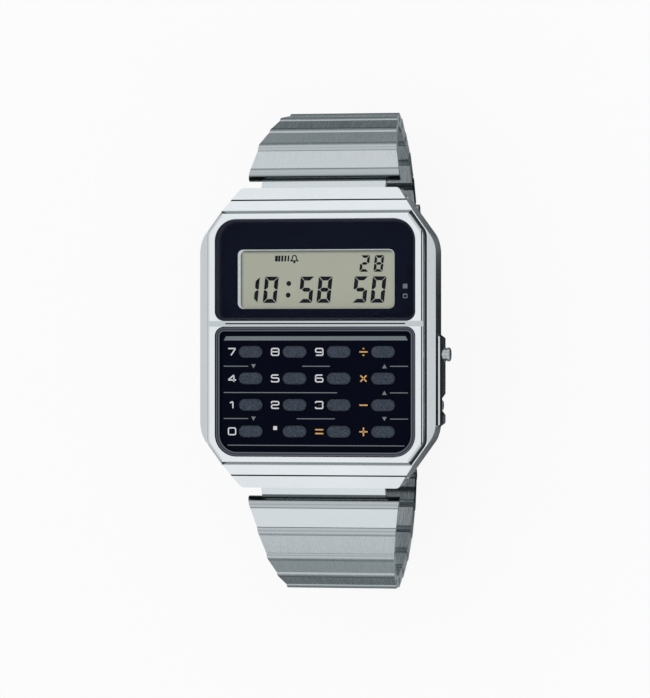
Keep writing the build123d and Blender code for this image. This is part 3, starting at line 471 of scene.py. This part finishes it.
# Thin yellow sheet with a dull oxide bloom.
buzzer_finish = metal_finish("rolled_brass_sheet", "B08D4E", "CDAA66", (0.4, 4, 0.4), 0.25, 0.4, 0.002)
print("four more metals")

# %% [markdown]
# ## Plastics, rubber and the board
# What is moulded has a fine spark-eroded grain, what is printed is nearly flat, and what is rubber is matt.
# The dark faces reflect very little in the picture, so their specular level is low, as on a coated print.

# %% Dull finishes
def dull_finish(name, dark, light, per_mm, roughness, depth, specular):
    """A non-metal whose colour wanders between two tones and whose bump is as fine as the grain."""
    material, tree = finish_tree(name)
    spots = grain(tree, per_mm, 3.0)
    share = add(tree, "MapRange", (spots, *CRISP_NOISE, 0.0, 1.0), **SMOOTH)
    main = add(tree, "BsdfPrincipled", {
        "Base Color": add(tree, "Mix", {0: share, 6: dark, 7: light}, **COLOURS),
        "Roughness": roughness,
        "Specular IOR Level": specular,
        "Normal": add(tree, "Bump", {"Height": spots, "Distance": depth * MM})})
    add(tree, "OutputMaterial", {"Surface": main})
    return material


# Slate grey keys with a sandy surface, grains of 0.13 mm.
key_finish = dull_finish("textured_grey_keys", "1F252D", "455061", (8, 8, 8), 0.5, 0.012, 0.25)
# Translucent silicone with a dusty bloom.
mat_finish = dull_finish("moulded_silicone", "3A3D40", "4A4E52", (3, 3, 3), 0.6, 0.003, 0.4)
# Black nylon holder, spark-eroded.
holder_finish = dull_finish("moulded_black_nylon", "16181A", "202326", (5, 5, 5), 0.5, 0.004, 0.4)
# Green solder mask over glass cloth, with the cloth's 0.4 mm weave just showing.
board_finish = dull_finish("green_board_laminate", "1D4A2C", "2A5E38", (2.5, 2.5, 2.5), 0.35, 0.002, 0.5)
print("four dull finishes")

# %% [markdown]
# ## The display's polariser
# What looks grey-green in the display is a sheet of polarising film over the liquid crystal. The frame over
# it throws a soft shade along its left and upper edge. That shade depends on the nearer of the two edges,
# so the smaller of two distances drives it.

# %% Display film
# Even and matt, like thin grey paper, with a shade along two edges.
shade_left, shade_top, shade_fades = -11.07, 12.5, (-0.1, 0.55)
film_depth, film_roughness, film_specular = 0.0004, 0.4, 0.1
display_finish, tree = finish_tree("display_polariser")
film = grain(tree, (5, 5, 5), 3.0)
sides = add(tree, "SeparateXYZ", (add(tree, "TexCoord", take="Object"),), take=None).outputs
from_left = add(tree, "Math", (sides["X"], shade_left * MM), operation="SUBTRACT")
from_top = add(tree, "Math", (shade_top * MM, sides["Y"]), operation="SUBTRACT")
nearer = add(tree, "Math", (from_left, from_top), operation="MINIMUM")
lit = add(tree, "MapRange", (nearer, *np.multiply(shade_fades, MM), 0.0, 1.0), **SMOOTH)
film_colour = add(tree, "Mix", {0: film, 6: "B9BAA7", 7: "BEBFAC"}, **COLOURS)
film_colour = add(tree, "Mix", {0: lit, 6: "5A5F5C", 7: film_colour}, **COLOURS)
film_bump = add(tree, "Bump", {"Height": film, "Distance": film_depth * MM})
polariser = add(tree, "BsdfPrincipled", {"Base Color": film_colour, "Roughness": film_roughness,
                                         "Specular IOR Level": film_specular, "Normal": film_bump})
add(tree, "OutputMaterial", {"Surface": polariser})
print("display network has", len(tree.nodes), "nodes")

# %% [markdown]
# ## How far in from a window's edge
# Both windows have a band just inside the bezel that follows their rounded outline, so what we need at each
# point is its distance in from the edge. For a rounded box that is the corner radius, less how far the
# point lies outside the box of the corner centres. A window's upper corners have another radius than its
# lower ones.

# %% Distance in from the edge
window_half_width = 14.6


def inset_of_window(tree, low, high, low_round, high_round):
    """Distance in mm in from a window's outline, which goes from y = low to high with a corner radius at
    each. It is the radius, less how far the point is outside the box of the corner centres. Inside that box
    the distance to its nearest side is added instead."""
    place = add(tree, "TexCoord", take="Object")
    from_middle = add(tree, "VectorMath", (place, (0, (low + high) / 2 * MM, 0)), operation="SUBTRACT")
    y = add(tree, "SeparateXYZ", (from_middle,), take="Y")
    upper = add(tree, "Math", (y, 0.0), operation="GREATER_THAN")
    radius = add(tree, "Mix", {0: upper, 2: low_round * MM, 3: high_round * MM}, data_type="FLOAT")
    folded = add(tree, "VectorMath", (from_middle,), operation="ABSOLUTE")
    half = (window_half_width * MM, (high - low) / 2 * MM, 1.0)
    past = add(tree, "VectorMath", (folded, half), operation="SUBTRACT")
    past = add(tree, "VectorMath", (past, radius), operation="ADD")
    outside = add(tree, "VectorMath", (past, (0, 0, 0)), operation="MAXIMUM")
    outside = add(tree, "VectorMath", (outside,), operation="LENGTH", take="Value")
    sides = add(tree, "SeparateXYZ", (past,), take=None).outputs
    inside = add(tree, "Math", (sides["X"], sides["Y"]), operation="MAXIMUM")
    inside = add(tree, "Math", (inside, 0.0), operation="MINIMUM")
    reach = add(tree, "Math", (outside, inside), operation="ADD")
    inset = add(tree, "Math", (radius, reach), operation="SUBTRACT")
    return add(tree, "Math", (inset, 1 / MM), operation="MULTIPLY")


print("windows are", 2 * window_half_width, "mm wide")

# %% [markdown]
# ## Black windows with a painted sheen at the rim
# Both windows are a deep navy black, printed behind one and moulded in the other. A slate band of painted
# reflection runs round each, where the glass's bevel over the display and the keypad's raised rim catch the
# light, and round the keypad it lies between two painted highlights, two fine bright lines along that rim.
# Each band is a stretch of a colour ramp over the distance in from the edge.

# %% Window blacks
black_specular, gloss_spread = 0.02, 0.04


def window_black(name, outline, bands, roughness, depth):
    """Black with bands round its edge, each given as a distance in from the edge, in mm, and a colour."""
    material, tree = finish_tree(name)
    colours = add(tree, "ValToRGB", (inset_of_window(tree, *outline),), take=None)
    stops = colours.color_ramp.elements
    while len(stops) < len(bands):
        stops.new(1.0)
    for number, (distance, colour) in enumerate(bands):
        stops[number].position, stops[number].color = distance, paint(colour)
    spots = grain(tree, (7, 7, 7), 3.0)
    black = add(tree, "BsdfPrincipled", {
        "Base Color": colours.outputs[0],
        "Roughness": add(tree, "MapRange", (spots, *NOISE, roughness - gloss_spread, roughness), **SMOOTH),
        "Specular IOR Level": black_specular,
        "Normal": add(tree, "Bump", {"Height": spots, "Distance": depth * MM})})
    add(tree, "OutputMaterial", {"Surface": black})
    return material


# Screen print behind the glass, flat and even, with a slate band round its edge that is a painted reflection
# of the glass's bevel. An outline is its lower and upper y, then the corner radius of each.
mask_outline = (2.4, 17.05, 1.35, 3.2)
mask_black_and_sheen = [(0.0, "383A46"), (0.6, "383A46"), (0.68, "141826"), (0.95, "141826")]
mask_finish = window_black("screen_printed_black_with_painted_sheen", mask_outline, mask_black_and_sheen, 0.45, 0.0005)
# The same black on a moulded plate, with painted highlights as two bright lines on its raised rim and a
# painted sheen between them.
plate_outline = (-17.05, 1.6, 3.2, 1.35)
plate_black_and_highlights = [(0.0, "16181F"), (0.1, "16181F"), (0.15, "70727C"), (0.24, "70727C"), (0.3, "3E404C"),
               (0.45, "3B3D49"), (0.52, "6C6E78"), (0.61, "6C6E78"), (0.7, "060A19")]
plate_finish = window_black("moulded_black_plate_with_painted_highlights", plate_outline, plate_black_and_highlights, 0.38, 0.0015)
print("two window blacks")

# %% [markdown]
# ## Coated window
# The window is hardened glass with a coating that keeps it from glaring. Light has to reach the display
# below, so for shadows and for light that has been scattered the glass counts as clear, and for everything
# else it bends light as glass does.

# %% Window glass
# Clear, with a faint blue-violet reflection from the coating.
window_finish, tree = finish_tree("coated_mineral_glass")
bloom = add(tree, "Mix", {0: grain(tree, (0.3, 0.3, 0.3)), 6: "F6F9FB", 7: "FDFEFF"}, **COLOURS)
glass = add(tree, "BsdfPrincipled", {"Base Color": bloom, "Roughness": 0.0, "IOR": 1.5,
                                     "Transmission Weight": 1.0, "Specular Tint": "2A2E4A"})
clear = add(tree, "BsdfTransparent", {"Color": "FFFFFF"})
rays = add(tree, "LightPath", take=None).outputs
for_light = add(tree, "Math", (rays["Is Shadow Ray"], rays["Is Diffuse Ray"]), operation="MAXIMUM")
add(tree, "OutputMaterial", {"Surface": add(tree, "MixShader", (for_light, glass, clear))})
print("window is clear")

# %% [markdown]
# ## Give every solid its finish
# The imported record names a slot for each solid, so the finishes go on slot by slot.

# %% Finishes on the solids
slot_finishes = {
    "chromed_case": chrome_finish, "window_glass": window_finish, "black_print": mask_finish,
    "display_glass": display_finish, "black_plate": plate_finish, "key_rubber": mat_finish,
    "frame_plastic": holder_finish, "board_laminate": board_finish, "cell_steel": cell_finish,
    "buzzer_brass": buzzer_finish, "brushed_back": back_finish, "grey_keys": key_finish,
    "pusher_steel": pusher_finish, "strap_steel": strap_finish,
}
for solid in frame["nodes"].values():
    for holder in solid.material_slots:
        holder.material = slot_finishes[holder.material.name.split(".")[0]]
print(len(frame["nodes"]), "solids finished")

# %% [markdown]
# ## A bar carried along a line
# Most of what is on the dial is a bar carried along a line, such as a stroke of a digit or a rule between
# two rows of keys. At a corner the bar has to be wider across the turn, or it would look pinched, and how
# much wider follows from half the turn.

# %% Bars
sharpest_turn = 0.4     # cosine of half a turn, below which a bar is widened no further


def carry(path, profile, closed=False):
    """Carries a profile along a flat path. At each point of the path the profile's first number is laid off
    to the left of the path, divided by the cosine of half the turn so that the bar keeps its width, and its
    second number is the height. Returns the points and the faces."""
    path, profile = np.asarray(path, float), np.asarray(profile, float)
    ahead = np.roll(path, -1, 0) - path
    behind = path - np.roll(path, 1, 0)
    if not closed:
        ahead[-1], behind[0] = behind[-1], ahead[0]
    ahead /= np.linalg.norm(ahead, axis=1, keepdims=True)
    behind /= np.linalg.norm(behind, axis=1, keepdims=True)
    middle = ahead + behind
    middle /= np.linalg.norm(middle, axis=1, keepdims=True)
    widen = 1 / np.maximum((middle * ahead).sum(1), sharpest_turn)
    left = np.stack([-middle[:, 1], middle[:, 0]], 1) * widen[:, None]
    flat = path[:, None] + left[:, None] * profile[None, :, :1]
    tall = np.broadcast_to(profile[None, :, 1:], (*flat.shape[:2], 1))
    count, around = flat.shape[:2]
    i, j = np.meshgrid(np.arange(count if closed else count - 1), np.arange(around), indexing="ij")
    on, side = (i + 1) % count, (j + 1) % around
    corners = [i * around + j, on * around + j, on * around + side, i * around + side]
    faces = np.stack(corners, -1).reshape(-1, 4).tolist()
    if not closed:
        faces += [list(range(around)), list(range((count - 1) * around, count * around))]
    return np.concatenate([flat, tall], 2).reshape(-1, 3), faces


def ink_bar(width, low, high):
    """The cross-section of a printed line: a flat bar with slightly bevelled shoulders."""
    half, bevel = width / 2, (high - low) / 2
    return [(-half, low), (half, low), (half, high - bevel), (half - bevel, high), (bevel - half, high),
            (-half, high - bevel)]


print("a straight bar has", len(carry([(0, 0), (1, 0)], ink_bar(0.2, 0, 0.02))[1]), "faces")

# %% [markdown]
# ## Small plates, and pieces of many parts
# The rest is a small plate with a straight outline, such as a display segment. A whole row of bars and
# plates becomes one piece, which moves with the body that it is printed on. Each stands a few hundredths of
# a millimetre proud of what carries it, as thick ink does.

# %% Plates and pieces
def plate(outline, low, high):
    """A flat outline as a plate from height low to height high: two copies of it and a wall between them."""
    outline = np.asarray(outline, float)
    count = len(outline)
    points = np.concatenate([np.c_[outline, np.full(count, low)], np.c_[outline, np.full(count, high)]])
    here = np.arange(count)
    wall = np.stack([here, np.roll(here, -1), np.roll(here, -1) + count, here + count], 1).tolist()
    return points, wall + [here[::-1].tolist(), (here + count).tolist()]


def together(parts):
    """Several sets of points and faces as one, with each set's point numbers moved up past those before."""
    starts = np.cumsum([0] + [len(points) for points, _ in parts])
    faces = [[corner + start for corner in face] for (_, part), start in zip(parts, starts) for face in part]
    return np.concatenate([points for points, _ in parts]), faces


def dial_piece(name, parts, finish, body):
    """One piece made of bars and plates, which rides on a body and has the finish that it is given."""
    made = new_mesh(name, *together(parts), finish)
    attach(made, body)
    print(name, "has", len(made.data.polygons), "faces")


print("a square plate has", len(plate([(0, 0), (1, 0), (1, 1), (0, 1)], 0, 1)[1]), "faces")

# %% [markdown]
# ## The bright edge of the display
# The printed mask has an opening for the display. A bright bevel lines it and goes down to the glass,
# widest on the nine o'clock side. It is a band between two outlines: the opening and a slightly smaller,
# shifted one below it. A rounded corner is a quarter of a circle, so each outline is four of them joined by
# straight runs.

# %% Rings
def rounded_rectangle(size, centre, radius, steps=8):
    """Corner k is a quarter circle about the corner's centre, from angle 90k to 90k + 90 degrees."""
    angles = np.radians(90 * np.arange(4)[:, None] + np.linspace(0, 90, steps)[None])
    inset = np.array(size) / 2 - radius
    corners = np.array([(1, 1), (-1, 1), (-1, -1), (1, -1)]) * inset
    points = corners[:, None] + radius * np.stack([np.cos(angles), np.sin(angles)], -1)
    return points.reshape(-1, 2) + np.array(centre)


def ring_band(rings):
    """Joins closed outlines with as many points each, given as (outline, height), into a band that closes on
    itself."""
    points = np.stack([np.c_[outline, np.full(len(outline), height)] for outline, height in rings])
    layers, count = points.shape[:2]
    layer, step = np.meshgrid(np.arange(layers), np.arange(count), indexing="ij")
    above, on = (layer + 1) % layers, (step + 1) % count
    corners = [layer * count + step, layer * count + on, above * count + on, above * count + step]
    return points.reshape(-1, 3), np.stack(corners, -1).reshape(-1, 4).tolist()


print("a rounded rectangle has", len(rounded_rectangle((2, 1), (0, 0), 0.1)), "points")

# %% Display edge
opening_size, opening_centre, opening_round = (22.85, 8.5), (0.0, 8.4), 0.8
foot_round = opening_round - 0.1
mask_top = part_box("display_mask")[1].z / MM
display_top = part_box("lcd_panel")[1].z / MM
# How far the foot of the bevel stands in from the opening: left, right, below and above.
foot_left, foot_right, foot_below, foot_above = 0.36, 0.13, 0.03, 0.15
# How far the bevel's brow tucks under the mask, below its top, and where its foot is over and in the glass.
brow_tuck, brow_drop, foot_lift, foot_sink = 0.04, 0.03, 0.04, 0.05
foot_size = (opening_size[0] - foot_left - foot_right, opening_size[1] - foot_below - foot_above)
foot_centre = ((foot_left - foot_right) / 2, opening_centre[1] + (foot_below - foot_above) / 2)
brow = rounded_rectangle((opening_size[0] + brow_tuck, opening_size[1] + brow_tuck), opening_centre,
                         opening_round)
foot = rounded_rectangle(foot_size, foot_centre, foot_round)
# Bright foil, lightly hazed.
edge_finish = dull_finish("bright_foil_bevel", "DDE4E6", "EAF0F2", (2, 2, 2), 0.3, 0.001, 0.5)
edge_rings = [(brow, mask_top - brow_drop), (foot, display_top + foot_lift),
              (foot, display_top - foot_sink), (brow, display_top - foot_sink)]
dial_piece("display_edge", [ring_band(edge_rings)], edge_finish, "case")

# %% [markdown]
# ## Digits of the display
# A liquid-crystal digit is seven dark bars on a grey ground. The bars fill a box to its corners, where they
# are cut at a slant with small gaps between. The whole digit leans a little to the right. We list which
# bars each digit lights, draw one top bar, one side bar and the cross bar, mirror them to make all seven,
# and keep the ones that are lit.

# %% Bars of a digit
LIT = {"0": "abcdef", "1": "bc", "2": "abdeg", "3": "abcdg", "4": "bcfg", "5": "acdfg", "6": "acdefg",
       "7": "abc", "8": "abcdefg", "9": "abcdfg"}
digit_lean, bar_gap = 0.1, 0.07


def digit_bars(digit, centre, size, thick):
    """Outlines of a digit's lit bars, in a box of size. Two bars that meet are both cut at 45 degrees with a
    gap between, and leaning moves every point right by the lean times its height."""
    x, y = np.array(size) / 2
    gap = bar_gap
    top = np.array([(-x + gap, y), (x - gap, y), (x - thick - gap, y - thick), (-x + thick + gap, y - thick)])
    side = np.array([(-x, y - gap), (-x + thick, y - thick - gap), (-x + thick, thick / 2 + gap),
                     (-x + thick / 2, gap), (-x, gap)])
    cross = np.array([(-x + thick / 2 + gap, 0), (-x + thick + gap, thick / 2),
                      (x - thick - gap, thick / 2), (x - thick / 2 - gap, 0),
                      (x - thick - gap, -thick / 2), (-x + thick + gap, -thick / 2)])
    bars = {"a": top, "b": side * (-1, 1), "c": side * (-1, -1), "d": top * (1, -1), "e": side * (1, -1),
            "f": side, "g": cross}
    return [bars[bar] + np.outer(bars[bar][:, 1], (digit_lean, 0)) + np.array(centre) for bar in LIT[digit]]


print("an eight has", len(digit_bars("8", (0, 0), (2, 4), 0.5)), "bars")

# %% Display digits
ink_sink, ink_height = 0.005, 0.02
segment_low, segment_high = display_top - ink_sink, display_top + ink_height
time_size, time_thick, time_middle = (1.98, 3.76), 0.56, 6.88
time_places = {-9.42: "1", -6.66: "0", -1.44: "5", 1.2: "8", 6.42: "5", 9.04: "0"}
small_size, small_thick, small_middle = (1.33, 2.35), 0.37, 10.6
small_places = {7.05: "2", 9.1: "8"}
colon_radius, colon_centres = 0.35, [(-4.02, time_middle + 0.9), (-4.11, time_middle - 0.76)]

outlines = [bar for x, digit in time_places.items()
            for bar in digit_bars(digit, (x, time_middle), time_size, time_thick)]
outlines += [bar for x, digit in small_places.items()
             for bar in digit_bars(digit, (x, small_middle), small_size, small_thick)]
dot_turn = np.linspace(0, 2 * np.pi, 24, endpoint=False)
dot = np.stack([np.cos(dot_turn), np.sin(dot_turn)], 1)
outlines += [colon_radius * dot + centre for centre in colon_centres]

# Ink-dark and flat: what shows is crystal that has turned, under a matt film.
segment_finish = dull_finish("dark_liquid_crystal", "0E1216", "171B20", (4, 4, 4), 0.35, 0.0003, 0.1)
segments = [plate(outline, segment_low, segment_high) for outline in outlines]
dial_piece("display_digits", segments, segment_finish, "case")

# %% [markdown]
# ## Small signs of the display
# Above the time stand five bars, widest first, and a small bell. The bell is a half circle on a flaring
# skirt with a clapper below, drawn as one thin line and one dot.

# %% Display signs
bar_left, bar_pitch, bar_slant, sign_low, sign_high = -6.05, 0.46, 0.05, 10.95, 11.78
bar_widths = np.array([0.4, 0.31, 0.28, 0.25, 0.22])
bar_starts = bar_left + bar_pitch * np.arange(len(bar_widths))
signs = [plate([(x, sign_low), (x + w, sign_low), (x + w + bar_slant, sign_high), (x + bar_slant, sign_high)],
               segment_low, segment_high) for x, w in zip(bar_starts, bar_widths)]

bell_place, bell_line_width = np.array([-3.2, 11.38]), 0.16
dome_radius, dome_rise, skirt, rim = 0.3, 0.12, (0.3, -0.1), (0.52, -0.36)
rim_reach, clapper_radius, clapper_drop = 0.6, 0.16, 0.56
dome_turn = np.radians(np.linspace(180, 0, 13))
dome = np.stack([dome_radius * np.cos(dome_turn), dome_rise + dome_radius * np.sin(dome_turn)], 1)
bell_line = np.concatenate([[(-rim[0], rim[1]), (-skirt[0], skirt[1])], dome, [skirt, rim]])
thin_line = ink_bar(bell_line_width, segment_low, segment_high)
signs.append(carry(bell_line + bell_place, thin_line))
signs.append(carry(np.array([(-rim_reach, rim[1]), (rim_reach, rim[1])]) + bell_place, thin_line))
signs.append(plate(clapper_radius * dot + bell_place + (0, -clapper_drop), segment_low, segment_high))
dial_piece("display_signs", signs, segment_finish, "case")

# %% [markdown]
# ## Printed legends beside the keys
# The legends are wide, squared digits with soft corners, screen printed in white, and the four operators
# and the equals sign in gold. A stroke is a line through a few corners, in a box one wide and one high.

# %% Strokes of each sign
STROKES = {
    "0": [[(0, 0.5), (0, 0), (1, 0), (1, 1), (0, 1), (0, 0.5)]],
    "1": [[(0.22, 0.78), (0.62, 1), (0.62, 0)]],
    "2": [[(0, 0.74), (0, 1), (1, 1), (1, 0.5), (0, 0.5), (0, 0), (1.02, 0)]],
    "3": [[(0, 0.78), (0, 1), (1, 1), (1, 0.5), (0.28, 0.5)],
          [(0.28, 0.5), (1, 0.5), (1, 0), (0, 0), (0, 0.22)]],
    "4": [[(0.76, 0), (0.76, 1)], [(0.74, 0.98), (0, 0.3)], [(-0.04, 0.26), (1.06, 0.26)]],
    "5": [[(0.96, 1), (0, 1), (0, 0.56), (1, 0.56), (1, 0), (0, 0), (0, 0.2)]],
    "6": [[(0.94, 1), (0, 1), (0, 0), (1, 0), (1, 0.55), (0, 0.55)]],
    "7": [[(-0.02, 1), (1, 1)], [(0.97, 0.97), (0.36, 0)]],
    "8": [[(0, 0.5), (0, 0), (1, 0), (1, 1), (0, 1), (0, 0.5)], [(0, 0.52), (1, 0.52)]],
    "9": [[(0.06, 0), (1, 0), (1, 1), (0, 1), (0, 0.45), (1, 0.45)]],
    "plus": [[(0, 0.5), (1, 0.5)], [(0.5, -0.02), (0.5, 1.02)]],
    "minus": [[(0, 0.5), (1, 0.5)]],
    "multiply": [[(0.13, 0.13), (0.87, 0.87)], [(0.13, 0.87), (0.87, 0.13)]],
    "divide": [[(0, 0.5), (1, 0.5)], [(0.4, 0.89), (0.6, 0.89)], [(0.4, 0.11), (0.6, 0.11)]],
    "equals": [[(0, 0.73), (1, 0.73)], [(0, 0.27), (1, 0.27)]],
    "point": [[(0.22, 1.0), (0.78, 1.0)]],
}
print(len(STROKES), "signs")

# %% [markdown]
# ## Softening the corners of a stroke
# A pen or a cut stencil rounds each corner. We cut the corner off on both of its runs and put in a curve
# that leaves one run and joins the other without a kink.

# %% Soft corners
longest_cut = 0.49      # share of a run that one corner may take


def soft_corners(line, radius, steps=7):
    """Cuts each inner corner off by radius on both sides and puts in a curve: (1 - t)^2 a + 2 t (1 - t) b +
    t^2 c, from the cut a through the corner's pull b to the cut c."""
    line = np.asarray(line, float)
    if len(line) < 3:
        return line
    before, corner, after = line[:-2], line[1:-1], line[2:]
    cuts = []
    for end in (before, after):
        run = np.linalg.norm(end - corner, axis=1)
        reach = np.minimum(radius, longest_cut * run)
        cuts.append((corner + (end - corner) * (reach / run)[:, None])[:, None])
    t = np.linspace(0, 1, steps)[None, :, None]
    curve = (1 - t) ** 2 * cuts[0] + 2 * t * (1 - t) * corner[:, None] + t ** 2 * cuts[1]
    return np.concatenate([line[:1], curve.reshape(-1, 2), line[-1:]])


print("a soft right angle has", len(soft_corners([(0, 0), (1, 0), (1, 1)], 0.2)), "points")

# %% [markdown]
# ## Putting the legends on the plate
# Each sign stands to the left of its key, so its place comes from the key's own box. The ink lies on the
# sunken field of the plate.

# %% Key legends
field_top = 7.55
ink_low, ink_high = field_top - ink_sink, field_top + ink_height
# From the middle of a key to the middle of its legend, in the keys' left column and in the others.
left_column, run_in_left_column, run_elsewhere = "0147", 2.77, 2.87
# Size, corner radius and stroke width of a digit, the point and an operator.
digit_form = ((1.06, 0.97), 0.24, 0.19)
point_form = ((0.98, 0.98), 0.2, 0.55)
operator_form = ((1.19, 1.19), 0.2, 0.2)


def legend(sign, form):
    """The strokes of one sign, scaled to its size, to the left of its key."""
    size, radius, width = form
    low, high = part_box("key_" + sign)
    to_key = run_in_left_column if sign in left_column else run_elsewhere
    middle = np.array([(low.x + high.x) / 2 / MM - to_key, (low.y + high.y) / 2 / MM])
    strokes = [soft_corners(np.array(stroke) * size, radius) for stroke in STROKES[sign]]
    return [carry(line - np.array(size) / 2 + middle, ink_bar(width, ink_low, ink_high)) for line in strokes]


digit_legends = [part for digit in "0123456789" for part in legend(digit, digit_form)]
digit_legends += legend("point", point_form)
operator_legends = [part for sign in ("divide", "multiply", "minus", "plus", "equals")
                    for part in legend(sign, operator_form)]
# Thick white ink with a slightly chalky face.
white_ink = dull_finish("white_screen_ink", "D9DCE0", "EDEFF2", (6, 6, 6), 0.5, 0.002, 0.3)
# Gold-coloured ink, which is ochre paint with a fine metal flake, so it glints in grains.
gold_ink = dull_finish("gold_screen_ink", "D99E48", "F3C077", (9, 9, 9), 0.42, 0.003, 0.5)
dial_piece("digit_legends", digit_legends, white_ink, "case")
dial_piece("operator_legends", operator_legends, gold_ink, "case")

# %% [markdown]
# ## Lines between the rows
# A broad grey bar heads the keypad and thin grey lines part the rows, each broken by a small arrow or a
# gap. The bar's ends are cut at a slant.

# %% Lines and arrows
bar_middle, bar_half, bar_reach, bar_cut = -0.08, 0.3, 13.42, 0.35
head_bar = [(-bar_reach, bar_middle - bar_half), (bar_reach, bar_middle - bar_half),
            (bar_reach - bar_cut, bar_middle + bar_half), (bar_cut - bar_reach, bar_middle + bar_half)]
# For each line's y, where its runs start and end along x.
line_rows = {
    -4.08: [(-13.43, -9.82), (-1.91, 2.1), (10.84, 13.44)],
    -7.86: [(-13.43, 3.15), (10.84, 13.44)],
    -11.59: [(-13.43, -9.82), (-2.71, 2.83), (10.84, 13.44)],
    -15.42: [(-12.85, 12.93)],
}
rule = ink_bar(0.13, ink_low, ink_high)
lines = [carry([(start, y), (end, y)], rule) for y, spans in line_rows.items() for start, end in spans]
# Where each arrow is, and 1 if it points up or -1 if it points down.
arrows = {(-9.05, -4.08): -1, (10.03, -4.08): 1, (10.03, -7.86): 1, (-9.05, -11.59): -1, (10.03, -11.59): -1}
arrow_shape = np.array([(-0.34, -0.29), (0.34, -0.29), (0.0, 0.3)])
lines += [plate(arrow_shape * (1, way) + place, ink_low, ink_high) for place, way in arrows.items()]
lines.append(plate(head_bar, ink_low, ink_high))
# Dark silver ink, a little shiny.
grey_ink = dull_finish("silver_grey_ink", "6A7477", "7E898C", (7, 7, 7), 0.4, 0.002, 0.4)
dial_piece("keypad_lines", lines, grey_ink, "case")

# %% [markdown]
# ## Marks on the display's border
# The border of the display carries two small squares near its right edge, one filled and one open, level
# with the pushers that they point to. They are printed on the mask, right under the glass.

# %% Border marks
mark_sink, mark_height = 0.01, 0.012
mark_low, mark_high = mask_top - mark_sink, mask_top + mark_height
filled_centre, open_centre, mark_size, mark_round, mark_line = (12.97, 7.35), (12.97, 5.95), 0.66, 0.06, 0.14
filled = rounded_rectangle((mark_size, mark_size), filled_centre, mark_round, 3)
open_path = rounded_rectangle((mark_size - mark_line, mark_size - mark_line), open_centre, mark_round, 3)
marks = [plate(filled, mark_low, mark_high),
         carry(open_path, ink_bar(mark_line, mark_low, mark_high), closed=True)]
dial_piece("border_marks", marks, grey_ink, "case")

# %% [markdown]
# ## Measure and finish
# What we added must stay inside the box of the CAD part. The box of everything shown is printed below.

# %% Sizes
low, high = [list(corner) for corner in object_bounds()]
print("visual box", [round((b - a) / MM, 2) for a, b in zip(low, high)], "mm")
